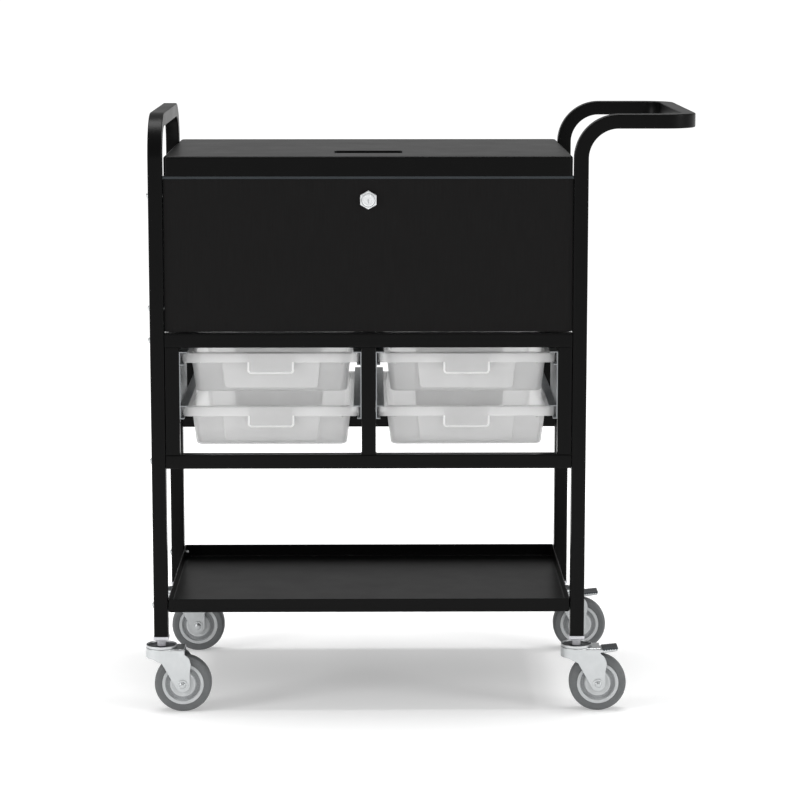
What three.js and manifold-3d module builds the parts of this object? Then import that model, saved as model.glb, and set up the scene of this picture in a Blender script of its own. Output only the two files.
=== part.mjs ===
// Tool cart: two bent-tube end frames carry a lidded cabinet, a unit with four
// sliding trays and an open shelf, and stand on four swivel casters.
// Millimetres. +Z is up, the trays open towards -Y and the push handle is at +X.
import * as THREE from 'three';
import { mergeVertices } from 'three/addons/utils/BufferGeometryUtils.js';
import Module from 'manifold-3d';

const wasm = await Module();
wasm.setup();

// ---------------------------------------------------------------- clearances
const FIT_GAP = 0.3; // between pieces that touch on the real cart
const FRAME_GAP = 0.5; // between the uprights and what is bolted between them
const CUT_MARGIN = 1; // how far a cutting solid reaches past a face

// --------------------------------------------- how finely round things are cut
const SMALL_SIDES = 10; // bolts, pins and their holes
const ROUND_SIDES = 16; // shafts, stems and the lock
const HEAD_SIDES = 20; // swivel heads and hubs
const TYRE_SIDES = 36;
const CORNER_STEPS = 2;
const EDGE_STEPS = 1; // along the edges of the square tube
const DOME_STEPS = 3;
const LEG_STEPS = 4; // round end and shoulder of the fork's legs
const HEX_SIDES = 6;
const WELD_DISTANCE = 1e-4; // points closer than this are one point

// ---------------------------------------------------------- steel and fixings
const TUBE = 25; // square tube, outside
const TUBE_EDGE = 2; // rounding along the edges of the tube
const SHEET = 2; // folded steel sheet
const BEND_RADIUS = 65; // centre line of the bends in the end frames
const HANDLE_BEND_RADIUS = 45; // centre line of the bends at the grip
const BEND_STEPS = 6;
const BOLT_RADIUS = 3;
const BOLT_HOLE_RADIUS = BOLT_RADIUS + FIT_GAP;
const BOLT_HEAD_RADIUS = 5.5;
const BOLT_HEAD_HEIGHT = 3.5;
const BOLT_NUT_RADIUS = 4;
const BOLT_NUT_HEIGHT = 5;
const CABINET_BOLT_DROP = 29; // from the top of the cabinet to its upper bolt
const CABINET_BOLT_RISE = 41; // from the bottom of the cabinet to its lower bolt

// ---------------------------------------------------------------------- trays
const TRAY_WIDTH = 312;
const TRAY_LENGTH = 427;
const TRAY_HEIGHT = 71.5;
const TRAY_WALL = 2.2;
const TRAY_RIM_HEIGHT = 17;
const TRAY_RIM_WIDTH = 14.5; // from the edge of the rim to the body below it
const TRAY_DRAFT = 8; // how far each wall leans in from rim to bottom
const TRAY_CORNER = 12;
const TRAY_PITCH = 95.5; // from one tray level to the next
const TRAY_LEVELS = 2;
const TRAY_BAYS = 2;
const TRAY_PANEL_WIDTH = 176; // raised middle of the end walls
const TRAY_PANEL_PROUD = 5;
const TRAY_PANEL_TAPER = 6.4; // how far each side of it leans in
const TRAY_POCKET_WIDTH = 82;
const TRAY_POCKET_HEIGHT = 37;
const TRAY_FRONT_INSET = 19; // from the front of the frame to the tray
const TRAY_FLOOR_GAP = 11.5; // under the lowest tray
const TRAY_HEAD_GAP = 7.3; // over the highest runner

// -------------------------------------------------------------------- runners
const RUNNER_SHEET = 1.7;
const RUNNER_CLEARANCE = 2; // beside each tray rim
const RUNNER_HEADROOM = 3; // over each tray rim
const RUNNER_FLANGE = 14.5;
const RUNNER_LEDGE = 6;
const RUNNER_PLATE_LENGTH = 172;
const RUNNER_INSET = 1; // behind the front of the frame

// ------------------------------------------------------------------- casters
const WHEEL_DIAMETER = 102;
const WHEEL_WIDTH = 30;
const CASTER_TRAIL = 38;
const TYRE_DEPTH = 13.7;
const TYRE_SHOULDER = 4;
const HUB_RIM_DEPTH = 5.5;
const HUB_DISC_RADIUS = 22.5;
const HUB_RECESS = 7;
const HUB_DISC_PROUD = 1.5; // beside the tyre
const HUB_RIM_INSET = 1; // inside the width of the tyre
const HUB_BOSS_MARGIN = 1; // round the axle's nut
const HUB_DRAFT = 1;
const FORK_SHEET = 2.5;
const FORK_SIDE_GAP = 5.5; // between the tyre and the legs of the fork
const FORK_HEADROOM = 12; // between the tyre and the crown
const LEG_FRONT = 16; // from the kingpin to the front of the legs
const LEG_NOTCH_X = 2; // behind the kingpin
const LEG_NOTCH_DROP = 27; // below the crown
const LEG_BACK_RISE = 23; // straight part of the back edge, above the axle
const LEG_BULGE = 2; // of the back edge, above its straight part
const LEG_SHOULDER_DROP = 20;
const LEG_SHOULDER_ROUND = 7;
const LEG_END_START = 1.12 * Math.PI; // where the round end meets the front edge
const CROWN_END = 4; // past the axle
const CROWN_END_HEIGHT = 10;
const HEAD_RADIUS = 28;
const SKIRT_HEIGHT = 18;
const CAP_HEIGHT = 4.7;
const CAP_RADIUS = 27.5;
const CAP_EDGE = 1;
const CAP_LIP = 1.5; // width of the cap's raised edge
const CAP_DISH = 3; // from that edge down to the middle of the cap
const NECK_HEIGHT = 9.7;
const NECK_RADIUS = 7.7;
const KINGPIN_RADIUS = 6;
const KINGPIN_HEAD_RADIUS = 9;
const KINGPIN_HEAD_HEIGHT = 4;
const PLUG_FLANGE_HEIGHT = 5.5;
const PLUG_FLANGE_PROUD = 1;
const PLUG_DEPTH = 40;
const TUBE_WALL = 2;
const AXLE_RADIUS = 5;
const AXLE_NUT_RADIUS = 8.5;
const AXLE_NUT_HEIGHT = 5;
const LEG_END_RADIUS = 13;
const PEDAL_RANGE_CLEARANCE = 1.7;
const PEDAL_WIDTH = 34;
const PEDAL_REACH = 36; // past the wheel's axle
const PEDAL_PIN_RADIUS = 2.5;
const PEDAL_PIN_SETBACK = 4; // from the axle towards the stem
const PEDAL_PIN_DROP = 4; // below the crown
const PEDAL_PIN_PROUD = 1.5;
const PEDAL_WHEEL_GAP = 3.7; // over the tyre
const PEDAL_TAIL = 5; // in front of its pin
const PEDAL_HEEL = 12; // from the axle to the bend of the underside
const PEDAL_HEEL_RISE = 1.1;
const PEDAL_STEP = 5; // past the crown, where the top comes level with it
const PEDAL_NOSE = 2;
const PEDAL_TIP_TOP = 2.5; // above the underside of the crown
const PEDAL_TIP_UNDER = 4; // below it

// ------------------------------------------------------ heights on the frame
const SHELF_ABOVE_FOOT = 44;
const SHELF_LIP = 24.5;
const SHELF_SPACE = 235.5; // clear height between the shelf and the tray unit
const CABINET_GAP = 2.7;
const CABINET_HEIGHT = 267.3;
const CABINET_FRONT_INSET = 5;
const FRONT_PANEL_SHEET = 3;
const RIM_BAR_HEIGHT = 4.4;
const RIM_BAR_WIDTH = 16;
const RIM_BAR_INSET = 1; // behind the face of the front panel
const LID_GAP = 0.5;
const LID_LIP = 35;
const LID_SIDE_GAP = 2.5;
const LID_REAR_INSET = 1.5;
const HANDLE_RISE = 72; // from the lid's top to the top of the end frames
const HANDLE_REACH = 190; // from the right end frame to the end of the grip

// ------------------------------------------------------------ lid hinge, lock
const HINGE_END_INSET = 19.5; // from each end of the lid to the end of the hinge
const HINGE_OFFSET = 1; // between the knuckles and the lid's rear lip and lower edge
const HINGE_KNUCKLES = 7;
const HINGE_KNUCKLE_GAP = 0.6;
const HINGE_RADIUS = 3.5;
const HINGE_PIN_RADIUS = 1.9;
const HINGE_BORE_RADIUS = 2.2;
const HINGE_LEAF = 1.5;
const HINGE_LEAF_HEIGHT = 22;
const PULL_LENGTH = 120;
const PULL_WIDTH = 60;
const PULL_SETBACK = 79.5; // from the lid's front edge to its near side
const PULL_DEPTH = 14;
const PULL_FLANGE = 8;
const PULL_SHEET = 1.5;
const LOCK_DROP = 36; // from the top of the front panel to the lock
const LOCK_FLATS = 28.6;
const LOCK_PROUD = 6;
const LOCK_BARREL_RADIUS = 9.5;
const LOCK_PLUG_RADIUS = 5.5;
const LOCK_FACE_RADIUS = 11.3;
const LOCK_FACE_PROUD = 1; // the plug's disc, before the hexagon
const LOCK_DEPTH = 17;
const KEYWAY_WIDTH = 1.6;
const KEYWAY_RISE = 2; // above the middle of the lock
const KEYWAY_DROP = 5; // below it
const KEYWAY_FLOOR = 1;
const CAM_LENGTH = 34;
const CAM_WIDTH = 12;
const CAM_SHEET = 2.5;
const CATCH_WIDTH = 14;
const CATCH_PLAY = 1.5; // between the turned cam and the foot of the catch
const CATCH_SETBACK = 7.5; // behind the cam
const CATCH_HEAD = 16; // under the lid's top

// ------------------------------------------------- sizes worked out from these
const WHEEL_RADIUS = WHEEL_DIAMETER / 2;
const CROWN_BOTTOM = WHEEL_DIAMETER + FORK_HEADROOM;
const CROWN_TOP = CROWN_BOTTOM + FORK_SHEET;
const CAP_TOP = CROWN_TOP + FIT_GAP + CAP_HEIGHT;
const NECK_TOP = CAP_TOP + NECK_HEIGHT;
const PEDAL_PIN_Z = CROWN_BOTTOM - PEDAL_PIN_DROP;
const FOOT = NECK_TOP + PLUG_FLANGE_HEIGHT + FIT_GAP; // lower end of the uprights
const FORK_HALF = WHEEL_WIDTH / 2 + FORK_SIDE_GAP + FORK_SHEET;

const BAY_WIDTH = TRAY_WIDTH + 2 * (RUNNER_CLEARANCE + RUNNER_SHEET + FIT_GAP);
const UNIT_WIDTH = TRAY_BAYS * BAY_WIDTH + (TRAY_BAYS + 1) * TUBE;
const INNER_WIDTH = UNIT_WIDTH + 2 * FRAME_GAP;
const FRAME_WIDTH = INNER_WIDTH + 2 * TUBE;
const FRAME_DEPTH = TRAY_LENGTH + 2 * TRAY_FRONT_INSET;
const HALF_DEPTH = FRAME_DEPTH / 2;
const UPRIGHT_X = (FRAME_WIDTH - TUBE) / 2;
const UPRIGHT_Y = (FRAME_DEPTH - TUBE) / 2;

const SHELF_BOTTOM = FOOT + SHELF_ABOVE_FOOT;
const SHELF_TOP = SHELF_BOTTOM + SHELF_LIP;
const UNIT_BOTTOM = SHELF_TOP + SHELF_SPACE;
const OPENING_BOTTOM = UNIT_BOTTOM + TUBE;
const LOWEST_LEDGE = OPENING_BOTTOM + TRAY_FLOOR_GAP + TRAY_HEIGHT - TRAY_RIM_HEIGHT - FIT_GAP;
const RUNNER_HEIGHT = TRAY_RIM_HEIGHT + FIT_GAP + RUNNER_HEADROOM;
const HIGHEST_LEDGE = LOWEST_LEDGE + (TRAY_LEVELS - 1) * TRAY_PITCH;
const RUNNER_TOP = HIGHEST_LEDGE + RUNNER_HEIGHT + RUNNER_SHEET;
const OPENING_TOP = RUNNER_TOP + TRAY_HEAD_GAP;
const UNIT_TOP = OPENING_TOP + TUBE;
const CABINET_BOTTOM = UNIT_TOP + CABINET_GAP;
const CABINET_TOP = CABINET_BOTTOM + CABINET_HEIGHT;
const LID_BOTTOM = CABINET_TOP + FIT_GAP + RIM_BAR_HEIGHT + LID_GAP;
const LID_TOP = LID_BOTTOM + LID_LIP;
const FRAME_TOP = LID_TOP + HANDLE_RISE;

const CABINET_HALF = INNER_WIDTH / 2 - FRAME_GAP;
const PANEL_FRONT = -HALF_DEPTH + CABINET_FRONT_INSET;
const SHELL_FRONT = PANEL_FRONT + FRONT_PANEL_SHEET + FIT_GAP;
const LID_BACK = HALF_DEPTH - LID_REAR_INSET;
const HINGE_Y = LID_BACK - SHEET - HINGE_OFFSET;
const HINGE_Z = LID_BOTTOM - HINGE_RADIUS - HINGE_OFFSET;
const SHELL_BACK = HINGE_Y - HINGE_RADIUS - FIT_GAP;
const LID_HALF = INNER_WIDTH / 2 - LID_SIDE_GAP;
const HINGE_LENGTH = 2 * (LID_HALF - HINGE_END_INSET);
const LOCK_Z = CABINET_TOP - LOCK_DROP;

// ------------------------------------------------------------------ materials
const blackPowderCoat = { color: 0x141416, roughness: 0.42, metalness: 0.15 };
const blackLaminate = { color: 0x1c1b1b, roughness: 0.6, metalness: 0 };
const zincPlate = { color: 0xc3c7c8, roughness: 0.3, metalness: 0.9 };
const darkSteel = { color: 0x3a3f40, roughness: 0.4, metalness: 0.7 };
const clearPlastic = { color: 0xd9dbda, roughness: 0.35, metalness: 0, opacity: 0.55, transparent: true };
const greyRubber = { color: 0x6b6d6e, roughness: 0.75, metalness: 0 };
const greyNylon = { color: 0xa9abab, roughness: 0.5, metalness: 0 };
const chrome = { color: 0xe2e3e4, roughness: 0.12, metalness: 1 };

const cart = new THREE.Group();

// ----------------------------------------------------------- building helpers

/** A closed geometry as a solid that can be joined and cut. */
function solidOf(geometry) {
  const bare = geometry.clone();
  bare.deleteAttribute('normal');
  bare.deleteAttribute('uv');
  const merged = mergeVertices(bare, WELD_DISTANCE);
  const mesh = new wasm.Mesh({
    numProp: 3,
    vertProperties: new Float32Array(merged.attributes.position.array),
    triVerts: new Uint32Array(merged.index.array),
  });
  return new wasm.Manifold(mesh);
}

/** Adds a solid to the cart as a named mesh. */
function addPart(name, solid, finish) {
  const mesh = solid.getMesh();
  const geometry = new THREE.BufferGeometry();
  geometry.setAttribute('position', new THREE.BufferAttribute(mesh.vertProperties, 3));
  geometry.setIndex(new THREE.BufferAttribute(mesh.triVerts, 1));
  geometry.computeVertexNormals();
  const part = new THREE.Mesh(geometry, new THREE.MeshStandardMaterial(finish));
  part.name = name;
  cart.add(part);
}

/** A block between two corners. */
function block([x0, y0, z0], [x1, y1, z1]) {
  const geometry = new THREE.BoxGeometry(x1 - x0, y1 - y0, z1 - z0);
  geometry.translate((x0 + x1) / 2, (y0 + y1) / 2, (z0 + z1) / 2);
  return solidOf(geometry);
}

/** A round or many-sided bar between two points on a line along one axis. */
function bar(axis, radius, [x, y, z], length, sides = ROUND_SIDES) {
  const geometry = new THREE.CylinderGeometry(radius, radius, length, sides);
  geometry.translate(0, length / 2, 0);
  if (axis === 'x') geometry.rotateZ(-Math.PI / 2);
  if (axis === 'z') geometry.rotateX(Math.PI / 2);
  geometry.translate(x, y, z);
  return solidOf(geometry);
}

/** An outline in the plane across an axis, drawn out along it from one end to the other. */
function drawnOut(axis, shape, from, to, curveSegments = LEG_STEPS) {
  const settings = { depth: to - from, bevelEnabled: false, curveSegments };
  const geometry = new THREE.ExtrudeGeometry(shape, settings);
  const turn = new THREE.Matrix4();
  if (axis === 'x') {
    turn.makeBasis(new THREE.Vector3(0, 1, 0), new THREE.Vector3(0, 0, 1), new THREE.Vector3(1, 0, 0));
    turn.setPosition(from, 0, 0);
  }
  if (axis === 'y') {
    turn.makeBasis(new THREE.Vector3(1, 0, 0), new THREE.Vector3(0, 0, 1), new THREE.Vector3(0, -1, 0));
    turn.setPosition(0, to, 0);
  }
  if (axis === 'z') turn.setPosition(0, 0, from);
  geometry.applyMatrix4(turn);
  return solidOf(geometry);
}

/** A closed outline through points. */
function outline(points) {
  return new THREE.Shape(points.map(([u, v]) => new THREE.Vector2(u, v)));
}

/** A rectangle about the origin with round corners. */
function roundedRectangle(width, height, radius) {
  const u = width / 2;
  const v = height / 2;
  const shape = new THREE.Shape();
  shape.moveTo(-u + radius, -v);
  shape.absarc(u - radius, -v + radius, radius, -Math.PI / 2, 0, false);
  shape.absarc(u - radius, v - radius, radius, 0, Math.PI / 2, false);
  shape.absarc(-u + radius, v - radius, radius, Math.PI / 2, Math.PI, false);
  shape.absarc(-u + radius, -v + radius, radius, Math.PI, 1.5 * Math.PI, false);
  return shape;
}

/** A block with round upright edges, whose foot is narrower than its head. */
function draftedBlock(width, length, radius, bottom, top, draft) {
  const shape = roundedRectangle(width, length, radius);
  const depth = top - bottom;
  const settings = { depth, bevelEnabled: false, curveSegments: CORNER_STEPS };
  const geometry = new THREE.ExtrudeGeometry(shape, settings);
  const position = geometry.attributes.position;
  for (let i = 0; i < position.count; i += 1) {
    const lean = (draft * (depth - position.getZ(i))) / depth;
    position.setX(i, position.getX(i) * (1 - (2 * lean) / width));
    position.setY(i, position.getY(i) * (1 - (2 * lean) / length));
  }
  geometry.translate(0, 0, bottom);
  return solidOf(geometry);
}

/** A solid of revolution about an axis, from a profile of [radius, distance along the axis]. */
function turned(axis, profile, [x, y, z], sides) {
  const geometry = new THREE.LatheGeometry(
    profile.map(([radius, along]) => new THREE.Vector2(radius, along)),
    sides,
  );
  if (axis === 'z') geometry.rotateX(Math.PI / 2);
  geometry.translate(x, y, z);
  return solidOf(geometry);
}

/** The centre line of a tube bent at right angles, as stations with a point and a direction. */
class BentLine extends THREE.Curve {
  constructor(corners, radii) {
    super();
    this.stations = [];
    const last = corners.length - 1;
    const heading = (i) => new THREE.Vector3().subVectors(corners[i + 1], corners[i]).normalize();
    this.stations.push({ point: corners[0].clone(), direction: heading(0) });
    for (let i = 1; i < last; i += 1) {
      const inward = heading(i - 1);
      const outward = heading(i);
      const radius = radii[i - 1];
      for (let step = 0; step <= BEND_STEPS; step += 1) {
        const angle = (step / BEND_STEPS) * (Math.PI / 2);
        const point = corners[i].clone();
        point.addScaledVector(inward, radius * (Math.sin(angle) - 1));
        point.addScaledVector(outward, radius * (1 - Math.cos(angle)));
        const direction = inward.clone().multiplyScalar(Math.cos(angle));
        direction.addScaledVector(outward, Math.sin(angle));
        this.stations.push({ point, direction });
      }
    }
    this.stations.push({ point: corners[last].clone(), direction: heading(last - 1) });
  }

  get steps() {
    return this.stations.length - 1;
  }

  getPoint(share, target = new THREE.Vector3()) {
    return target.copy(this.stations[Math.round(share * this.steps)].point);
  }

  getPointAt(share, target) {
    return this.getPoint(share, target);
  }

  getTangentAt(share, target = new THREE.Vector3()) {
    return target.copy(this.stations[Math.round(share * this.steps)].direction);
  }
}

/** Square tube carried along a bent centre line. */
function bentTube(corners, radii) {
  const line = new BentLine(corners, radii);
  const geometry = new THREE.ExtrudeGeometry(roundedRectangle(TUBE, TUBE, TUBE_EDGE), {
    steps: line.steps,
    extrudePath: line,
    curveSegments: EDGE_STEPS,
  });
  return solidOf(geometry);
}

/** Several solids joined into one. */
function joined(...solids) {
  return solids.reduce((whole, solid) => whole.add(solid));
}

// ----------------------------------------------------------------- end frames
const boltHeights = [
  CABINET_TOP - CABINET_BOLT_DROP,
  CABINET_BOTTOM + CABINET_BOLT_RISE,
  UNIT_TOP - TUBE / 2,
  UNIT_BOTTOM + TUBE / 2,
  SHELF_BOTTOM + SHELF_LIP / 2,
];

/** A square socket in the lower end of an upright, for a caster's plug. */
function plugSocket(x, y) {
  const half = TUBE / 2 - TUBE_WALL;
  const top = FOOT + PLUG_DEPTH + CUT_MARGIN;
  return block([x - half, y - half, FOOT - CUT_MARGIN], [x + half, y + half, top]);
}

/** Holes across an upright for the bolts that hold what is between the end frames. */
function boltHoles(x, y, heights) {
  const length = TUBE + 2 * CUT_MARGIN;
  const hole = (z) => bar('x', BOLT_HOLE_RADIUS, [x - length / 2, y, z], length, SMALL_SIDES);
  return joined(...heights.map(hole));
}

function addEndFrames() {
  const top = FRAME_TOP - TUBE / 2;
  const grip = FRAME_WIDTH / 2 + HANDLE_REACH - TUBE / 2;
  const at = (x, y, z) => new THREE.Vector3(x, y, z);
  const hoopCorners = [
    at(-UPRIGHT_X, -UPRIGHT_Y, FOOT),
    at(-UPRIGHT_X, -UPRIGHT_Y, top),
    at(-UPRIGHT_X, UPRIGHT_Y, top),
    at(-UPRIGHT_X, UPRIGHT_Y, FOOT),
  ];
  const handleCorners = [
    at(UPRIGHT_X, -UPRIGHT_Y, FOOT),
    at(UPRIGHT_X, -UPRIGHT_Y, top),
    at(grip, -UPRIGHT_Y, top),
    at(grip, UPRIGHT_Y, top),
    at(UPRIGHT_X, UPRIGHT_Y, top),
    at(UPRIGHT_X, UPRIGHT_Y, FOOT),
  ];
  let hoop = bentTube(hoopCorners, [BEND_RADIUS, BEND_RADIUS]);
  let handle = bentTube(handleCorners, [BEND_RADIUS, HANDLE_BEND_RADIUS, HANDLE_BEND_RADIUS, BEND_RADIUS]);
  for (const y of [-UPRIGHT_Y, UPRIGHT_Y]) {
    hoop = hoop.subtract(plugSocket(-UPRIGHT_X, y));
    handle = handle.subtract(plugSocket(UPRIGHT_X, y));
  }
  hoop = hoop.subtract(boltHoles(-UPRIGHT_X, -UPRIGHT_Y, boltHeights));
  hoop = hoop.subtract(boltHoles(-UPRIGHT_X, UPRIGHT_Y, [boltHeights[4]]));
  addPart('left_hoop_frame', hoop, blackPowderCoat);
  addPart('right_handle_frame', handle, blackPowderCoat);
}

/** A round-headed bolt through one of the left uprights, with its nut where there is room for one. */
function addFrameBolt(name, y, z, reach, hasNut) {
  const headFace = -FRAME_WIDTH / 2 - FIT_GAP;
  const dome = [[0, 0]];
  for (let step = 0; step < DOME_STEPS; step += 1) {
    const angle = (step / DOME_STEPS) * (Math.PI / 2);
    dome.push([BOLT_HEAD_RADIUS * Math.cos(angle), BOLT_HEAD_HEIGHT * Math.sin(angle)]);
  }
  dome.push([0, BOLT_HEAD_HEIGHT]);
  const head = turned('y', dome, [0, 0, 0], SMALL_SIDES).rotate([0, 0, 90]).translate([headFace, y, z]);
  const shank = bar('x', BOLT_RADIUS, [headFace - CUT_MARGIN, y, z], reach + CUT_MARGIN, SMALL_SIDES);
  let bolt = head.add(shank);
  if (hasNut) {
    const nutFace = headFace + reach - BOLT_NUT_HEIGHT;
    bolt = bolt.add(bar('x', BOLT_NUT_RADIUS, [nutFace, y, z], BOLT_NUT_HEIGHT, HEX_SIDES));
  }
  addPart(name, bolt, zincPlate);
}

function addFrameBolts() {
  const throughSheet = FIT_GAP + TUBE + FRAME_GAP + SHEET + FIT_GAP + BOLT_NUT_HEIGHT;
  const intoRail = FIT_GAP + TUBE + FRAME_GAP + TUBE / 2;
  addFrameBolt('cabinet_upper_bolt', -UPRIGHT_Y, boltHeights[0], throughSheet, true);
  addFrameBolt('cabinet_lower_bolt', -UPRIGHT_Y, boltHeights[1], throughSheet, true);
  addFrameBolt('tray_unit_upper_bolt', -UPRIGHT_Y, boltHeights[2], intoRail, false);
  addFrameBolt('tray_unit_lower_bolt', -UPRIGHT_Y, boltHeights[3], intoRail, false);
  addFrameBolt('shelf_bolt', -UPRIGHT_Y, boltHeights[4], throughSheet, true);
  addFrameBolt('shelf_rear_bolt', UPRIGHT_Y, boltHeights[4], throughSheet, true);
}

// -------------------------------------------------------------------- cabinet

/** A bolt hole through whatever stands just inside a left upright. */
function sheetHole(z, depth, y = -UPRIGHT_Y) {
  const start = -INNER_WIDTH / 2 - CUT_MARGIN;
  return bar('x', BOLT_HOLE_RADIUS, [start, y, z], depth + 2 * CUT_MARGIN, SMALL_SIDES);
}

function addCabinet() {
  const inner = CABINET_HALF - SHEET - FIT_GAP;
  const left = block(
    [-CABINET_HALF, SHELL_FRONT, CABINET_BOTTOM],
    [-CABINET_HALF + SHEET, SHELL_BACK, CABINET_TOP],
  );
  const holes = sheetHole(boltHeights[0], SHEET).add(sheetHole(boltHeights[1], SHEET));
  const right = block(
    [CABINET_HALF - SHEET, SHELL_FRONT, CABINET_BOTTOM],
    [CABINET_HALF, SHELL_BACK, CABINET_TOP],
  );
  const back = block([-inner, SHELL_BACK - SHEET, CABINET_BOTTOM], [inner, SHELL_BACK, CABINET_TOP]);
  const floorBack = SHELL_BACK - SHEET - FIT_GAP;
  const floor = block(
    [-inner, SHELL_FRONT, CABINET_BOTTOM],
    [inner, floorBack, CABINET_BOTTOM + SHEET],
  );
  const panelBack = PANEL_FRONT + FRONT_PANEL_SHEET;
  const panel = block([-LID_HALF, PANEL_FRONT, CABINET_BOTTOM], [LID_HALF, panelBack, CABINET_TOP]);
  const lockHole = bar(
    'y',
    LOCK_BARREL_RADIUS + FIT_GAP,
    [0, PANEL_FRONT - CUT_MARGIN, LOCK_Z],
    FRONT_PANEL_SHEET + 2 * CUT_MARGIN,
  );
  addPart('cabinet_left_side', left.subtract(holes), blackPowderCoat);
  addPart('cabinet_right_side', right, blackPowderCoat);
  addPart('cabinet_back_panel', back, blackPowderCoat);
  addPart('cabinet_floor', floor, blackPowderCoat);
  addPart('cabinet_front_panel', panel.subtract(lockHole), blackLaminate);
  addCabinetRim();
}

/** The flat bar round the mouth of the cabinet, which the lid lies on. */
function addCabinetRim() {
  const bottom = CABINET_TOP + FIT_GAP;
  const top = bottom + RIM_BAR_HEIGHT;
  const frontFace = PANEL_FRONT + RIM_BAR_INSET;
  const ring = block([-CABINET_HALF, frontFace, bottom], [CABINET_HALF, SHELL_BACK, top]);
  const mouthHalf = CABINET_HALF - RIM_BAR_WIDTH;
  const mouth = block(
    [-mouthHalf, frontFace + RIM_BAR_WIDTH, bottom - CUT_MARGIN],
    [mouthHalf, SHELL_BACK - RIM_BAR_WIDTH, top + CUT_MARGIN],
  );
  addPart('cabinet_top_rim', ring.subtract(mouth), darkSteel);
}

// ------------------------------------------------------------------------ lid

const PULL_FRONT = -HALF_DEPTH + PULL_SETBACK;

function addLid() {
  const shell = block([-LID_HALF, -HALF_DEPTH, LID_BOTTOM], [LID_HALF, LID_BACK, LID_TOP]);
  const hollow = block(
    [-LID_HALF + SHEET, -HALF_DEPTH + SHEET, LID_BOTTOM - CUT_MARGIN],
    [LID_HALF - SHEET, LID_BACK - SHEET, LID_TOP - SHEET],
  );
  const pullHole = block(
    [-PULL_LENGTH / 2, PULL_FRONT, LID_TOP - SHEET - CUT_MARGIN],
    [PULL_LENGTH / 2, PULL_FRONT + PULL_WIDTH, LID_TOP + CUT_MARGIN],
  );
  addPart('lid', shell.subtract(hollow).subtract(pullHole), blackPowderCoat);
  addLidPull();
  addLidCatch();
}

/** A pressed dish under the opening in the lid, for the fingers. */
function addLidPull() {
  const top = LID_TOP - SHEET - FIT_GAP;
  const half = PULL_LENGTH / 2;
  const back = PULL_FRONT + PULL_WIDTH;
  const flange = block(
    [-half - PULL_FLANGE, PULL_FRONT - PULL_FLANGE, top - PULL_SHEET],
    [half + PULL_FLANGE, back + PULL_FLANGE, top],
  );
  const dish = block([-half, PULL_FRONT, top - PULL_DEPTH], [half, back, top]);
  const inside = block(
    [-half + PULL_SHEET, PULL_FRONT + PULL_SHEET, top - PULL_DEPTH + PULL_SHEET],
    [half - PULL_SHEET, back - PULL_SHEET, top + CUT_MARGIN],
  );
  addPart('lid_pull_dish', flange.add(dish).subtract(inside), blackPowderCoat);
}

const CAM_BACK = PANEL_FRONT + FRONT_PANEL_SHEET + LOCK_DEPTH + CAM_SHEET;

/** The hooked strip inside the lid. The lock's cam turns down over its foot. */
function addLidCatch() {
  const left = CAM_LENGTH - CATCH_WIDTH;
  const top = LID_TOP - SHEET - FIT_GAP;
  const hangerFront = CAM_BACK + CATCH_SETBACK;
  const hangerBack = hangerFront + SHEET;
  const footTop = LOCK_Z - CAM_WIDTH / 2 - CATCH_PLAY;
  const hanger = block([left, hangerFront, footTop - SHEET], [CAM_LENGTH, hangerBack, top]);
  const foot = block([left, CAM_BACK - CAM_SHEET, footTop - SHEET], [CAM_LENGTH, hangerBack, footTop]);
  const head = block([left, hangerFront, top - SHEET], [CAM_LENGTH, hangerFront + CATCH_HEAD, top]);
  addPart('lid_catch', joined(hanger, foot, head), zincPlate);
}

// ---------------------------------------------------------------------- hinge

/** One leaf of the long hinge: a strip with every second knuckle. */
function hingeLeaf(first, leafFrontY, leafBottom) {
  const pitch = HINGE_LENGTH / HINGE_KNUCKLES;
  const leafTop = leafBottom + HINGE_LEAF_HEIGHT;
  let leaf = block(
    [-HINGE_LENGTH / 2, leafFrontY, leafBottom],
    [HINGE_LENGTH / 2, leafFrontY + HINGE_LEAF, leafTop],
  );
  const rootLow = Math.min(HINGE_Z, leafTop - CUT_MARGIN);
  const rootHigh = Math.max(HINGE_Z, leafBottom + CUT_MARGIN);
  for (let i = first; i < HINGE_KNUCKLES; i += 2) {
    const start = -HINGE_LENGTH / 2 + i * pitch + HINGE_KNUCKLE_GAP / 2;
    const length = pitch - HINGE_KNUCKLE_GAP;
    const knuckle = bar('x', HINGE_RADIUS, [start, HINGE_Y, HINGE_Z], length, SMALL_SIDES);
    const root = block(
      [start, leafFrontY, rootLow],
      [start + length, leafFrontY + HINGE_LEAF, rootHigh],
    );
    const bore = bar(
      'x',
      HINGE_BORE_RADIUS,
      [start - CUT_MARGIN, HINGE_Y, HINGE_Z],
      length + 2 * CUT_MARGIN,
      SMALL_SIDES,
    );
    leaf = leaf.add(root).add(knuckle).subtract(bore);
  }
  return leaf;
}

function addHinge() {
  const fixedFront = HINGE_Y - HINGE_RADIUS;
  const fixedBottom = HINGE_Z - HINGE_RADIUS - FIT_GAP - HINGE_LEAF_HEIGHT;
  const lidLeafFront = LID_BACK - SHEET - FIT_GAP - HINGE_LEAF;
  const lidLeafBottom = HINGE_Z + HINGE_RADIUS + FIT_GAP;
  addPart('hinge_fixed_leaf', hingeLeaf(0, fixedFront, fixedBottom), darkSteel);
  addPart('hinge_lid_leaf', hingeLeaf(1, lidLeafFront, lidLeafBottom), darkSteel);
  const pin = bar('x', HINGE_PIN_RADIUS, [-HINGE_LENGTH / 2, HINGE_Y, HINGE_Z], HINGE_LENGTH, SMALL_SIDES);
  addPart('hinge_pin', pin, zincPlate);
}

// ----------------------------------------------------------------------- lock

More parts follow.
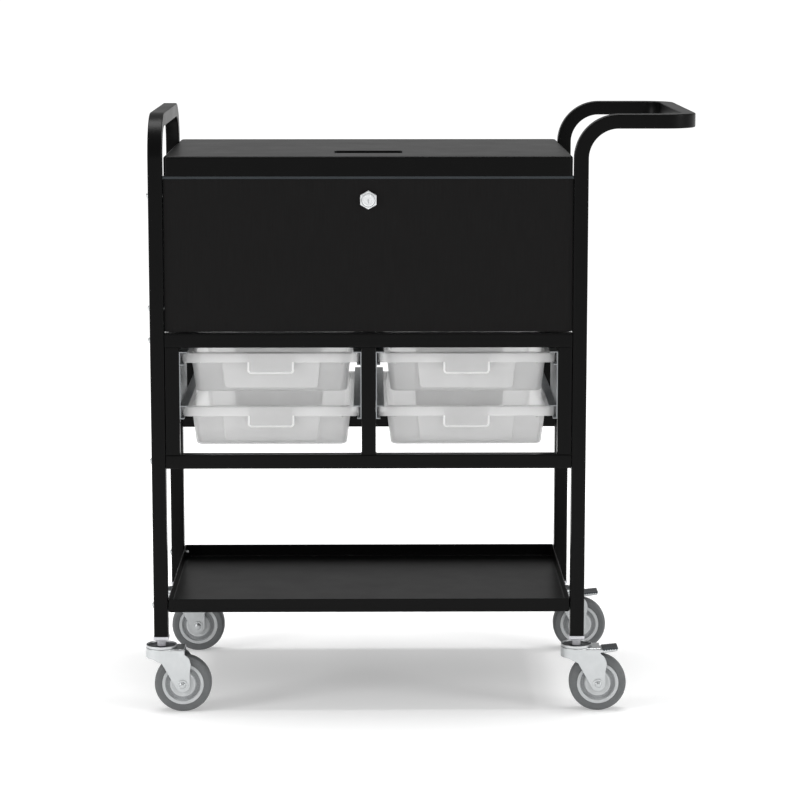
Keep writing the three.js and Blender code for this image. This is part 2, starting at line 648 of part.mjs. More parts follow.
function addLock() {
  const face = PANEL_FRONT - FIT_GAP;
  const hexRadius = LOCK_FLATS / Math.sqrt(3);
  const barrelBack = PANEL_FRONT + FRONT_PANEL_SHEET + LOCK_DEPTH - FIT_GAP;
  const hexagon = bar('y', hexRadius, [0, face - LOCK_PROUD, LOCK_Z], LOCK_PROUD, HEX_SIDES);
  const barrel = bar('y', LOCK_BARREL_RADIUS, [0, face, LOCK_Z], barrelBack - face);
  const faceDepth = LOCK_PROUD / 2;
  const bore = bar(
    'y',
    LOCK_PLUG_RADIUS + FIT_GAP,
    [0, face - LOCK_PROUD - CUT_MARGIN, LOCK_Z],
    barrelBack - face + LOCK_PROUD + 2 * CUT_MARGIN,
  );
  const recess = bar(
    'y',
    LOCK_FACE_RADIUS + FIT_GAP,
    [0, face - LOCK_PROUD - CUT_MARGIN, LOCK_Z],
    faceDepth + CUT_MARGIN,
  );
  addPart('lock_body', hexagon.add(barrel).subtract(bore).subtract(recess), chrome);

  const discBack = face - LOCK_PROUD + faceDepth - FIT_GAP;
  const discFront = discBack - faceDepth - LOCK_FACE_PROUD;
  const disc = bar('y', LOCK_FACE_RADIUS, [0, discFront, LOCK_Z], discBack - discFront);
  const shaft = bar('y', LOCK_PLUG_RADIUS, [0, discFront, LOCK_Z], CAM_BACK - discFront);
  const keyway = block(
    [-KEYWAY_WIDTH / 2, discFront - CUT_MARGIN, LOCK_Z - KEYWAY_DROP],
    [KEYWAY_WIDTH / 2, discBack - KEYWAY_FLOOR, LOCK_Z + KEYWAY_RISE],
  );
  addPart('lock_plug', disc.add(shaft).subtract(keyway), chrome);

  const hub = bar('y', LOCK_BARREL_RADIUS, [0, CAM_BACK - CAM_SHEET, LOCK_Z], CAM_SHEET);
  const arm = block(
    [-CAM_WIDTH / 2, CAM_BACK - CAM_SHEET, LOCK_Z],
    [CAM_WIDTH / 2, CAM_BACK, LOCK_Z + CAM_LENGTH],
  );
  const eye = bar(
    'y',
    LOCK_PLUG_RADIUS + FIT_GAP,
    [0, CAM_BACK - CAM_SHEET - CUT_MARGIN, LOCK_Z],
    CAM_SHEET + 2 * CUT_MARGIN,
  );
  addPart('lock_cam', hub.add(arm).subtract(eye), zincPlate);
}

// ------------------------------------------------------------------ tray unit

const bayCentres = [];
for (let bay = 0; bay < TRAY_BAYS; bay += 1) {
  bayCentres.push((bay - (TRAY_BAYS - 1) / 2) * (BAY_WIDTH + TUBE));
}

/** A welded ladder of square tube with one window for each bay. */
function ladderFrame(front) {
  const back = front + TUBE;
  let frame = block([-UNIT_WIDTH / 2, front, UNIT_BOTTOM], [UNIT_WIDTH / 2, back, UNIT_TOP]);
  for (const x of bayCentres) {
    const window = block(
      [x - BAY_WIDTH / 2, front - CUT_MARGIN, OPENING_BOTTOM],
      [x + BAY_WIDTH / 2, back + CUT_MARGIN, OPENING_TOP],
    );
    frame = frame.subtract(window);
  }
  return frame;
}

/** A folded side panel with a channel for the tray rim at each level. */
function addRunner(name, face, towards) {
  const x = (offset) => face + towards * offset;
  const plate = (from, to, yFrom, yTo, zFrom, zTo) => {
    const xs = [x(from), x(to)].sort((a, b) => a - b);
    return block([xs[0], yFrom, zFrom], [xs[1], yTo, zTo]);
  };
  const web = FIT_GAP + RUNNER_SHEET;
  const front = -HALF_DEPTH + RUNNER_INSET;
  const back = HALF_DEPTH - RUNNER_INSET;
  const bottom = LOWEST_LEDGE - RUNNER_SHEET;
  const stopFace = TRAY_LENGTH / 2 + RUNNER_CLEARANCE;
  let runner = plate(FIT_GAP, web, front, front + RUNNER_PLATE_LENGTH, bottom, RUNNER_TOP);
  runner = runner.add(plate(FIT_GAP, web, back - TUBE, back, bottom, RUNNER_TOP));
  for (let level = 0; level < TRAY_LEVELS; level += 1) {
    const ledge = LOWEST_LEDGE + level * TRAY_PITCH;
    const roof = ledge + RUNNER_HEIGHT;
    const low = ledge - RUNNER_SHEET;
    const high = roof + RUNNER_SHEET;
    const strip = plate(FIT_GAP, web, front, back, low, high);
    const flange = plate(FIT_GAP, RUNNER_FLANGE, front, back, roof, high);
    const shelf = plate(FIT_GAP, web + RUNNER_LEDGE, front, back, low, ledge);
    const stop = plate(FIT_GAP, RUNNER_FLANGE, stopFace, stopFace + RUNNER_SHEET, low, high);
    runner = joined(runner, strip, flange, shelf, stop);
  }
  addPart(name, runner, zincPlate);
}

/** A moulded tray with a skirted rim, leaning walls and a pocket on each end. */
function traySolid(x, top) {
  const underside = top - TRAY_RIM_HEIGHT;
  const bottom = top - TRAY_HEIGHT;
  const bodyWidth = TRAY_WIDTH - 2 * TRAY_RIM_WIDTH;
  const bodyLength = TRAY_LENGTH - 2 * TRAY_RIM_WIDTH;
  const rim = draftedBlock(TRAY_WIDTH, TRAY_LENGTH, TRAY_CORNER, underside, top, 0);
  const rimHollow = draftedBlock(
    TRAY_WIDTH - 2 * TRAY_WALL,
    TRAY_LENGTH - 2 * TRAY_WALL,
    TRAY_CORNER - TRAY_WALL,
    underside - CUT_MARGIN,
    top - TRAY_WALL,
    0,
  );
  const body = draftedBlock(bodyWidth, bodyLength, TRAY_CORNER, bottom, top, TRAY_DRAFT);
  const inside = draftedBlock(
    bodyWidth - 2 * TRAY_WALL,
    bodyLength - 2 * TRAY_WALL,
    TRAY_CORNER - TRAY_WALL,
    bottom + TRAY_WALL,
    top + CUT_MARGIN,
    TRAY_DRAFT,
  );
  let tray = rim.subtract(rimHollow).add(body).subtract(inside);
  const endFace = TRAY_LENGTH / 2;
  const panelTop = top - TRAY_WALL;
  const panelFoot = bottom + TRAY_WALL;
  const panelTopHalf = TRAY_PANEL_WIDTH / 2;
  const panelFootHalf = panelTopHalf - TRAY_PANEL_TAPER;
  for (const side of [-1, 1]) {
    const wallTop = (bodyLength / 2) * side;
    const wallFoot = (bodyLength / 2 - TRAY_DRAFT) * side;
    const proud = TRAY_PANEL_PROUD * side;
    const inner = (TRAY_WALL / 2) * side;
    const section = outline([
      [wallTop - inner, panelTop],
      [wallFoot - inner, panelFoot],
      [wallFoot + proud, panelFoot],
      [wallTop + proud, panelTop],
    ]);
    const slab = drawnOut('x', section, -panelTopHalf, panelTopHalf);
    const trapezoid = outline([
      [-panelFootHalf, panelFoot - CUT_MARGIN],
      [panelFootHalf, panelFoot - CUT_MARGIN],
      [panelTopHalf, panelTop],
      [-panelTopHalf, panelTop],
    ]);
    const cutter = drawnOut('y', trapezoid, -endFace, endFace);
    const pocketNear = endFace * side;
    const pocketFar = pocketNear - TRAY_WALL * side;
    const pocket = block(
      [-TRAY_POCKET_WIDTH / 2, Math.min(pocketNear, pocketFar), top - TRAY_POCKET_HEIGHT],
      [TRAY_POCKET_WIDTH / 2, Math.max(pocketNear, pocketFar), top - TRAY_WALL],
    );
    tray = tray.add(slab.intersect(cutter)).add(pocket);
  }
  return tray.translate([x, 0, 0]);
}

function addTrayUnit() {
  const railHoles = sheetHole(boltHeights[2], TUBE / 2).add(sheetHole(boltHeights[3], TUBE / 2));
  addPart('tray_unit_front_frame', ladderFrame(-HALF_DEPTH).subtract(railHoles), blackPowderCoat);
  addPart('tray_unit_rear_frame', ladderFrame(HALF_DEPTH - TUBE), blackPowderCoat);
  const sides = ['left', 'right'];
  const levels = ['lower', 'upper'];
  bayCentres.forEach((x, bay) => {
    addRunner(`${sides[bay]}_bay_left_runner`, x - BAY_WIDTH / 2, 1);
    addRunner(`${sides[bay]}_bay_right_runner`, x + BAY_WIDTH / 2, -1);
    for (let level = 0; level < TRAY_LEVELS; level += 1) {
      const top = LOWEST_LEDGE + level * TRAY_PITCH + FIT_GAP + TRAY_RIM_HEIGHT;
      addPart(`${sides[bay]}_${levels[level]}_tray`, traySolid(x, top), clearPlastic);
    }
  });
}

// ---------------------------------------------------------------------- shelf

function addShelf() {
  const half = INNER_WIDTH / 2 - FRAME_GAP;
  const depth = HALF_DEPTH - RUNNER_INSET;
  const tray = block([-half, -depth, SHELF_BOTTOM], [half, depth, SHELF_TOP]);
  const hollow = block(
    [-half + SHEET, -depth + SHEET, SHELF_BOTTOM + SHEET],
    [half - SHEET, depth - SHEET, SHELF_TOP + CUT_MARGIN],
  );
  const holes = sheetHole(boltHeights[4], SHEET).add(sheetHole(boltHeights[4], SHEET, UPRIGHT_Y));
  addPart('bottom_shelf', tray.subtract(hollow).subtract(holes), blackPowderCoat);
}

// -------------------------------------------------------------------- casters

/** The fixed stem: a plug in the upright, a neck, and a kingpin through the fork's crown. */
function casterStem() {
  const flangeHalf = TUBE / 2 + PLUG_FLANGE_PROUD;
  const plugHalf = TUBE / 2 - TUBE_WALL - FIT_GAP;
  const headTop = CROWN_BOTTOM - FIT_GAP;
  const shoulder = CROWN_TOP + FIT_GAP;
  const pin = turned(
    'z',
    [
      [0, headTop - KINGPIN_HEAD_HEIGHT],
      [KINGPIN_HEAD_RADIUS, headTop - KINGPIN_HEAD_HEIGHT],
      [KINGPIN_HEAD_RADIUS, headTop],
      [KINGPIN_RADIUS, headTop],
      [KINGPIN_RADIUS, shoulder],
      [NECK_RADIUS, shoulder],
      [NECK_RADIUS, NECK_TOP + CUT_MARGIN],
      [0, NECK_TOP + CUT_MARGIN],
    ],
    [0, 0, 0],
    ROUND_SIDES,
  );
  const flange = block([-flangeHalf, -flangeHalf, NECK_TOP], [flangeHalf, flangeHalf, FOOT - FIT_GAP]);
  const plug = block(
    [-plugHalf, -plugHalf, FOOT - FIT_GAP - CUT_MARGIN],
    [plugHalf, plugHalf, FOOT + PLUG_DEPTH],
  );
  return joined(pin, flange, plug);
}

/** The dished cap over the swivel bearing. */
function casterCap() {
  const bore = NECK_RADIUS + FIT_GAP;
  const low = CROWN_TOP + FIT_GAP;
  const dish = CAP_TOP - CAP_DISH;
  const lip = CAP_RADIUS - CAP_LIP;
  return turned(
    'z',
    [
      [bore, low],
      [CAP_RADIUS, low],
      [CAP_RADIUS, CAP_TOP - CAP_EDGE],
      [CAP_RADIUS - CAP_EDGE, CAP_TOP],
      [lip, CAP_TOP],
      [lip - CAP_EDGE, dish],
      [bore, dish],
      [bore, low],
    ],
    [0, 0, 0],
    HEAD_SIDES,
  );
}

/** The side view of a fork leg: a crown edge, a leaning front edge and a round lower end. */
function forkLegOutline() {
  const axle = CASTER_TRAIL;
  const back = axle + LEG_END_RADIUS;
  const crownEnd = axle + CROWN_END;
  const shoulderZ = CROWN_TOP - CROWN_END_HEIGHT;
  const shape = new THREE.Shape();
  shape.moveTo(-LEG_FRONT, CROWN_TOP - SKIRT_HEIGHT);
  shape.lineTo(LEG_NOTCH_X, CROWN_TOP - LEG_NOTCH_DROP);
  shape.absarc(axle, WHEEL_RADIUS, LEG_END_RADIUS, LEG_END_START, Math.PI * 2, false);
  shape.lineTo(back, WHEEL_RADIUS + LEG_BACK_RISE);
  shape.lineTo(back + LEG_BULGE, shoulderZ - LEG_SHOULDER_DROP);
  shape.quadraticCurveTo(back + LEG_BULGE, shoulderZ - LEG_SHOULDER_ROUND, crownEnd, shoulderZ);
  shape.lineTo(crownEnd, CROWN_TOP);
  shape.lineTo(-LEG_FRONT, CROWN_TOP);
  return shape;
}

/** A pressed fork: crown plate, two legs and the round skirt round the head. */
function casterFork(hasPedal) {
  const head = bar('z', HEAD_RADIUS, [0, 0, CROWN_BOTTOM], FORK_SHEET, HEAD_SIDES);
  const crown = block(
    [-LEG_FRONT, -FORK_HALF, CROWN_BOTTOM],
    [CASTER_TRAIL + CROWN_END, FORK_HALF, CROWN_TOP],
  );
  const leg = forkLegOutline();
  const near = drawnOut('y', leg, -FORK_HALF, -FORK_HALF + FORK_SHEET);
  const far = drawnOut('y', leg, FORK_HALF - FORK_SHEET, FORK_HALF);
  const skirtOuter = bar('z', HEAD_RADIUS, [0, 0, CROWN_TOP - SKIRT_HEIGHT], SKIRT_HEIGHT, HEAD_SIDES);
  const skirtInner = bar(
    'z',
    HEAD_RADIUS - FORK_SHEET,
    [0, 0, CROWN_TOP - SKIRT_HEIGHT - CUT_MARGIN],
    SKIRT_HEIGHT + CUT_MARGIN - FORK_SHEET,
    HEAD_SIDES,
  );
  const wide = 2 * HEAD_RADIUS;
  const skirtSide = block([-wide, -wide, 0], [SHEET - LEG_FRONT, wide, CROWN_TOP]);
  const skirt = skirtOuter.subtract(skirtInner).intersect(skirtSide);
  const kingpinHole = bar(
    'z',
    KINGPIN_RADIUS + FIT_GAP,
    [0, 0, CROWN_BOTTOM - CUT_MARGIN],
    FORK_SHEET + 2 * CUT_MARGIN,
  );
  const axleHole = bar(
    'y',
    AXLE_RADIUS + FIT_GAP,
    [CASTER_TRAIL, -FORK_HALF - CUT_MARGIN, WHEEL_RADIUS],
    2 * (FORK_HALF + CUT_MARGIN),
  );
  let fork = joined(head, crown, near, far, skirt).subtract(kingpinHole).subtract(axleHole);
  if (hasPedal) {
    const pinHole = bar(
      'y',
      PEDAL_PIN_RADIUS + FIT_GAP,
      [CASTER_TRAIL - PEDAL_PIN_SETBACK, -FORK_HALF - CUT_MARGIN, PEDAL_PIN_Z],
      2 * (FORK_HALF + CUT_MARGIN),
      SMALL_SIDES,
    );
    fork = fork.subtract(pinHole);
  }
  return fork;
}

/** The axle with its hexagon head and nut, outside the legs of the fork. */
function casterAxle() {
  const outside = FORK_HALF + FIT_GAP;
  const shank = bar('y', AXLE_RADIUS, [CASTER_TRAIL, -outside, WHEEL_RADIUS], 2 * outside);
  const head = bar(
    'y',
    AXLE_NUT_RADIUS,
    [CASTER_TRAIL, -outside - AXLE_NUT_HEIGHT, WHEEL_RADIUS],
    AXLE_NUT_HEIGHT,
    HEX_SIDES,
  );
  const nut = bar('y', AXLE_NUT_RADIUS, [CASTER_TRAIL, outside, WHEEL_RADIUS], AXLE_NUT_HEIGHT, HEX_SIDES);
  return joined(shank, head, nut);
}

/** The wheel's centre, with a recess between its disc and its rim on each side. */
function wheelHub() {
  const bore = AXLE_RADIUS + FIT_GAP;
  const boss = AXLE_NUT_RADIUS + HUB_BOSS_MARGIN;
  const bossHalf = FORK_HALF - FORK_SHEET - FIT_GAP;
  const discHalf = WHEEL_WIDTH / 2 + HUB_DISC_PROUD;
  const rimOuter = WHEEL_RADIUS - TYRE_DEPTH - FIT_GAP;
  const rimInner = rimOuter - HUB_RIM_DEPTH;
  const rimHalf = WHEEL_WIDTH / 2 - HUB_RIM_INSET;
  const webHalf = rimHalf - HUB_RECESS;
  const side = [
    [bore, bossHalf],
    [boss, bossHalf],
    [boss, discHalf],
    [HUB_DISC_RADIUS, discHalf - HUB_DRAFT],
    [HUB_DISC_RADIUS + HUB_DRAFT, webHalf],
    [rimInner, webHalf],
    [rimInner + HUB_DRAFT, rimHalf],
    [rimOuter, rimHalf],
  ];
  const nearSide = side.map(([radius, along]) => [radius, -along]);
  const closed = [...nearSide, ...side.reverse(), nearSide[0]];
  return turned('y', closed, [CASTER_TRAIL, 0, WHEEL_RADIUS], HEAD_SIDES);
}

/** The tyre: a ring with rounded shoulders. */
function wheelTyre() {
  const inner = WHEEL_RADIUS - TYRE_DEPTH;
  const half = WHEEL_WIDTH / 2;
  const edge = half - HUB_RIM_INSET;
  const profile = [[inner, -edge]];
  for (const [side, start] of [[-1, -Math.PI / 2], [1, 0]]) {
    for (let step = 0; step <= CORNER_STEPS; step += 1) {
      const angle = start + (step / CORNER_STEPS) * (Math.PI / 2);
      profile.push([
        WHEEL_RADIUS - TYRE_SHOULDER + TYRE_SHOULDER * Math.cos(angle),
        side * (half - TYRE_SHOULDER) + TYRE_SHOULDER * Math.sin(angle),
      ]);
    }
  }
  profile.push([inner, edge]);
  profile.push([inner, -edge]);
  return turned('y', profile, [CASTER_TRAIL, 0, WHEEL_RADIUS], TYRE_SIDES);
}

/** The brake pedal with the pin that it turns on. */
function brakePedal() {
  const pinX = CASTER_TRAIL - PEDAL_PIN_SETBACK;
  const top = CROWN_BOTTOM - PEDAL_RANGE_CLEARANCE;
  const under = WHEEL_DIAMETER + PEDAL_WHEEL_GAP;
  const tail = pinX - PEDAL_TAIL;
  const crownEnd = CASTER_TRAIL + CROWN_END;
  const tip = CASTER_TRAIL + PEDAL_REACH;
  const nose = tip - PEDAL_NOSE;
  const side = outline([
    [tail, under],
    [CASTER_TRAIL + PEDAL_HEEL, under + PEDAL_HEEL_RISE],
    [nose, CROWN_BOTTOM - PEDAL_TIP_UNDER],
    [tip, CROWN_BOTTOM + (PEDAL_TIP_TOP - PEDAL_TIP_UNDER) / 2],
    [nose, CROWN_BOTTOM + PEDAL_TIP_TOP],
    [crownEnd + PEDAL_STEP, CROWN_BOTTOM],
    [crownEnd + PEDAL_RANGE_CLEARANCE, top],
    [tail, top],
  ]);
  const lever = drawnOut('y', side, -PEDAL_WIDTH / 2, PEDAL_WIDTH / 2);
  const pinHalf = FORK_HALF + PEDAL_PIN_PROUD;
  const pin = bar('y', PEDAL_PIN_RADIUS, [pinX, -pinHalf, PEDAL_PIN_Z], 2 * pinHalf, SMALL_SIDES);
  return lever.add(pin);
}

function addCaster(place, x, y, hasPedal) {
  const shift = [x, y, 0];
  addPart(`${place}_caster_stem`, casterStem().translate(shift), zincPlate);
  addPart(`${place}_swivel_cap`, casterCap().translate(shift), darkSteel);
  addPart(`${place}_fork`, casterFork(hasPedal).translate(shift), zincPlate);
  addPart(`${place}_axle`, casterAxle().translate(shift), zincPlate);
  addPart(`${place}_wheel_hub`, wheelHub().translate(shift), greyNylon);
  addPart(`${place}_tyre`, wheelTyre().translate(shift), greyRubber);
  if (hasPedal) addPart(`${place}_brake_pedal`, brakePedal().translate(shift), darkSteel);
}

// ------------------------------------------------------------------- assembly
addEndFrames();
addFrameBolts();
addCabinet();
addLid();
addHinge();
addLock();
addTrayUnit();
addShelf();
addCaster('front_left', -UPRIGHT_X, -UPRIGHT_Y, false);
addCaster('front_right', UPRIGHT_X, -UPRIGHT_Y, true);
addCaster('rear_left', -UPRIGHT_X, UPRIGHT_Y, false);
addCaster('rear_right', UPRIGHT_X, UPRIGHT_Y, true);

// The origin is on the floor, under the middle of the whole cart.
const extent = new THREE.Box3().setFromObject(cart);
cart.position.set(-(extent.min.x + extent.max.x) / 2, -(extent.min.y + extent.max.y) / 2, -extent.min.z);

export default cart;
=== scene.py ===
"""Tool cart: black tube end frames, a lidded cabinet, four sliding trays, an open shelf and
four swivel casters. Lengths below are millimetres; meshes are in metres, in the cart's own frame.
"""

import math

import bpy
import numpy as np
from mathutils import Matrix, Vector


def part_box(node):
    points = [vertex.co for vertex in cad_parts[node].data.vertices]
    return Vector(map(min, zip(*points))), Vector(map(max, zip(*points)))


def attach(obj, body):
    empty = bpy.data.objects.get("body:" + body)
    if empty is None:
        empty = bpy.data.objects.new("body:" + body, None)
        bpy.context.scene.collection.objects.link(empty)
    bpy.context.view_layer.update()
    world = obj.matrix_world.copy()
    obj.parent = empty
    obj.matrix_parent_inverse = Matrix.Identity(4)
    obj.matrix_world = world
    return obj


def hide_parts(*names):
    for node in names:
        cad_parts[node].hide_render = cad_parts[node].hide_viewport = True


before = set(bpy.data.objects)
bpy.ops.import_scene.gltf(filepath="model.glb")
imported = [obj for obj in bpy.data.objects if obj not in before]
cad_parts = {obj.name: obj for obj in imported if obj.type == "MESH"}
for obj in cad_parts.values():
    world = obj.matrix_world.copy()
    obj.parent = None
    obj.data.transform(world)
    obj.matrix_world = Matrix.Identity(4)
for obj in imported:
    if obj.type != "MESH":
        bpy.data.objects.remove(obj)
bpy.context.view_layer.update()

MM = 0.001
TUBE = 25.0
TUBE_EDGE = 2.2
BEND = 65.0
HANDLE_BEND = 45.0
SHEET = 2.0
TRAY_WALL = 2.2
RIM_WIDTH = 14.5
RIM_HEIGHT = 17.0
DRAFT = 8.0
TRAIL = 38.0
HEAD = 28.0
HALF_FORK = 23.0
BOLT_DOME = 3.5
BOLT_RADIUS = 5.5
PULL_FLANGE = 8.0
LEG_END = 13.0
FORK_SHEET = 2.5
CROWN_FOLD = 3.2
SHARP_DEGREES = 32.0

COLOUR = {"data_type": "RGBA"}

PLACES = ("front_left", "front_right", "rear_left", "rear_right")


# ------------------------------------------------------------------ surfaces
# A shell is (points, quads, caps): an array of points, an array of four-cornered
# faces, and a list of flat end faces.

def box_mm(node):
    """The lowest and highest corner of a part, in millimetres."""
    low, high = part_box(node)
    return np.array(low) / MM, np.array(high) / MM


def outward(points, quads, caps):
    """Turns a closed shell's faces to point out. The sum of every face's corner-product is six
    times the volume inside, and comes out negative when the faces point in."""
    a, b, c, d = (points[quads[:, k]] for k in range(4))
    volume = np.einsum("ij,ij->", a, np.cross(b, c)) + np.einsum("ij,ij->", a, np.cross(c, d))
    for cap in caps:
        first, second, third = points[cap[:1]], points[cap[1:-1]], points[cap[2:]]
        volume += np.einsum("ij,ij->", np.broadcast_to(first, second.shape), np.cross(second, third))
    if volume < 0:
        return points, quads[:, ::-1], [cap[::-1] for cap in caps]
    return points, quads, caps


def loft(rings, closed=False):
    """A skin over rings of points, each joined to the next by a band of quads. A closed skin
    joins the last ring to the first; an open one ends in a flat face at each end."""
    count, around = rings.shape[:2]
    bands = np.arange(count if closed else count - 1)[:, None]
    along = np.arange(around)[None, :]
    after = (along + 1) % around
    above = (bands + 1) % count
    quads = np.stack(
        [bands * around + along, bands * around + after, above * around + after, above * around + along], -1
    ).reshape(-1, 4)
    caps = [] if closed else [np.arange(around)[::-1], (count - 1) * around + np.arange(around)]
    return outward(rings.reshape(-1, 3), quads, caps)


def rounded(points, radii, closed=False, steps=6):
    """A line through points with each corner replaced by an arc of its radius. The arc's centre
    lies on the line that halves the corner, at radius over the sine of half the corner."""
    points = np.asarray(points, float)
    last = len(points)
    line = []
    for i, radius in enumerate(radii):
        corner = points[i]
        if radius <= 0 or (not closed and i in (0, last - 1)):
            line.append(corner[None])
            continue
        back = points[i - 1] - corner
        on = points[(i + 1) % last] - corner
        back_length, on_length = np.linalg.norm(back), np.linalg.norm(on)
        back, on = back / back_length, on / on_length
        half = math.acos(np.clip(back @ on, -1, 1)) / 2
        radius = min(radius, 0.49 * min(back_length, on_length) * math.tan(half))
        reach = radius / math.tan(half)
        middle = (back + on) / np.linalg.norm(back + on)
        centre = corner + middle * radius / math.sin(half)
        start, end = corner + back * reach - centre, corner + on * reach - centre
        turn = math.pi - 2 * half
        share = np.linspace(0, 1, steps + 1)[:, None]
        arc = np.sin((1 - share) * turn) * start + np.sin(share * turn) * end
        line.append(centre + arc / math.sin(turn))
    return np.concatenate(line)


def rounded_loop(x0, x1, y0, y1, radius, steps=6):
    """Points round a rectangle with quarter circles for corners, the same number at each corner."""
    radius = max(radius, 0.15)
    angle = np.linspace(0, math.pi / 2, steps + 1)
    corners = [
        (x1 - radius, y1 - radius), (x0 + radius, y1 - radius),
        (x0 + radius, y0 + radius), (x1 - radius, y0 + radius),
    ]
    angle = angle + np.arange(4)[:, None] * math.pi / 2
    arcs = radius * np.stack([np.cos(angle), np.sin(angle)], -1)
    return (np.array(corners, float)[:, None] + arcs).reshape(-1, 2)


def at_height(loop, z):
    """A plan loop lifted to one height."""
    return np.column_stack([loop, np.full(len(loop), z)])


def pressed(low, high, profile, closed=False):
    """A pressing with an upright axis. Each row of the profile is (inset, height, corner radius),
    and gives one rounded rectangle that far inside the outer edge."""
    rings = [
        at_height(rounded_loop(low[0] + inset, high[0] - inset, low[1] + inset, high[1] - inset, radius), z)
        for inset, z, radius in profile
    ]
    return loft(np.array(rings), closed)


def turned(profile, centre, axis="z", sides=72, closed=True):
    """A turned solid. Each row of the profile is (radius, distance along the axis), carried round
    a full circle."""
    profile = np.asarray(profile, float)
    angle = np.linspace(0, 2 * math.pi, sides, endpoint=False)
    across = profile[:, :1] * np.cos(angle)
    aside = profile[:, :1] * np.sin(angle)
    along = np.broadcast_to(profile[:, 1:2], across.shape)
    order = {"z": (across, aside, along), "y": (across, along, aside), "x": (along, across, aside)}[axis]
    return loft(np.stack(order, -1) + np.asarray(centre, float), closed)


def inset_outline(outline, distance):
    """An outline moved in by a distance. Each corner moves along the sum of its two edge
    directions' normals, lengthened so that both edges move by the same amount."""
    edge = np.roll(outline, -1, 0) - outline
    edge /= np.linalg.norm(edge, axis=1, keepdims=True)
    normal = np.stack([-edge[:, 1], edge[:, 0]], -1)
    nxt = np.roll(outline, -1, 0)
    if np.sum(outline[:, 0] * nxt[:, 1] - nxt[:, 0] * outline[:, 1]) < 0:
        normal = -normal
    before = np.roll(normal, 1, 0)
    share = 1 + np.einsum("ij,ij->i", before, normal)[:, None]
    return outline + distance * (before + normal) / np.maximum(share, 0.3)


def plate(outline, axis, start, end, edge=0.5):
    """A flat plate from an outline, drawn out along one axis, with its sharp edges taken off.
    Its rings are the outline moved in, the outline twice, and the outline moved in again."""
    outline = np.asarray(outline, float)
    inner = inset_outline(outline, edge)
    rings = []
    for loop, depth in ((inner, start), (outline, start + edge), (outline, end - edge), (inner, end)):
        depth = np.full(len(loop), depth)
        u, v = loop[:, 0], loop[:, 1]
        rings.append(np.stack({"x": (depth, u, v), "y": (u, depth, v), "z": (u, v, depth)}[axis], -1))
    return loft(np.array(rings))


def turn_about(vector, axis, angle):
    """A vector turned about a unit axis, for each of many angles at once."""
    angle = angle[:, None]
    return (
        vector * np.cos(angle)
        + np.cross(axis, vector) * np.sin(angle)
        + axis * (axis @ vector) * (1 - np.cos(angle))
    )


def bent_tube(corners, bends, steps=22):
    """Square tube bent at right angles. The centre line is straight between bends and a quarter
    circle in each; the section turns with it, about each bend's own axis. In a bend the inner
    wall is drawn in a little, as the bender leaves it."""
    corners = np.asarray(corners, float)
    side, over = np.array([1.0, 0, 0]), np.array([0, 1.0, 0])
    places, sides, overs = [corners[:1]], [side[None]], [over[None]]
    pinch, inside = [np.zeros(1)], [np.zeros((1, 3))]
    for i, radius in enumerate(bends, 1):
        into = (corners[i] - corners[i - 1]) / np.linalg.norm(corners[i] - corners[i - 1])
        out = (corners[i + 1] - corners[i]) / np.linalg.norm(corners[i + 1] - corners[i])
        angle = np.linspace(0, math.pi / 2, steps + 1)
        along, aside = (np.sin(angle) - 1)[:, None], (1 - np.cos(angle))[:, None]
        places.append(corners[i] + into * radius * along + out * radius * aside)
        axis = np.cross(into, out)
        sides.append(turn_about(side, axis, angle))
        overs.append(turn_about(over, axis, angle))
        inside.append(turn_about(out, axis, angle))
        pinch.append(np.sin(2 * angle) ** 0.6)
        side, over = sides[-1][-1], overs[-1][-1]
    places.append(corners[-1:])
    sides.append(side[None])
    overs.append(over[None])
    pinch.append(np.zeros(1))
    inside.append(np.zeros((1, 3)))
    places, sides, overs, inside = (np.concatenate(x) for x in (places, sides, overs, inside))
    pinch = np.concatenate(pinch)
    section = tube_section(TUBE, TUBE)
    offset = sides[:, None] * section[None, :, :1] + overs[:, None] * section[None, :, 1:]
    toward = np.einsum("snk,sk->sn", offset, inside) / (TUBE / 2)
    depth = np.einsum("snk,sk->sn", offset, inside)[..., None]
    across = np.linalg.norm(offset - depth * inside[:, None], axis=-1)
    hollow = np.clip(toward - 0.8, 0, 0.2) * 5 * np.clip(1 - (across / (TUBE / 2)) ** 2, 0, 1)
    offset = offset - inside[:, None] * (1.1 * hollow * pinch[:, None])[..., None]
    return loft(places[:, None] + offset)


def tube_section(width, height):
    """A square tube's outline, with points across its flats as well as round its edges."""
    loop = rounded_loop(-width / 2, width / 2, -height / 2, height / 2, TUBE_EDGE, 4)
    count = 4
    parts = []
    for k in range(4):
        corner = loop[k * 5:(k + 1) * 5]
        after = loop[((k + 1) * 5) % 20]
        share = np.linspace(0, 1, count + 2)[1:-1, None]
        parts += [corner, corner[-1] * (1 - share) + after * share]
    return np.concatenate(parts)


def rail(start, end):
    """A straight length of the same tube, with its ends' edges taken off."""
    start, end = np.asarray(start, float), np.asarray(end, float)
    along = (end - start) / np.linalg.norm(end - start)
    side = np.array([0, 1.0, 0])
    over = np.cross(along, side)
    full = tube_section(TUBE, TUBE)
    small = full * (1 - 0.8 / TUBE)
    rings = [
        place + side * loop[:, :1] + over * loop[:, 1:]
        for place, loop in (
            (start, small), (start + along * 0.4, full), (end - along * 0.4, full), (end, small),
        )
    ]
    return loft(np.array(rings))


def hexagon(radius, around, turn=0.0):
    """Points round a regular hexagon, evenly spaced in angle. At each angle the distance out is
    the flat's distance over the cosine of the angle from the middle of that flat."""
    angle = np.linspace(0, 2 * math.pi, around, endpoint=False)
    off_middle = (angle - turn) % (math.pi / 3) - math.pi / 6
    reach = radius * math.cos(math.pi / 6) / np.cos(off_middle)
    return np.stack([reach * np.cos(angle), reach * np.sin(angle)], -1)


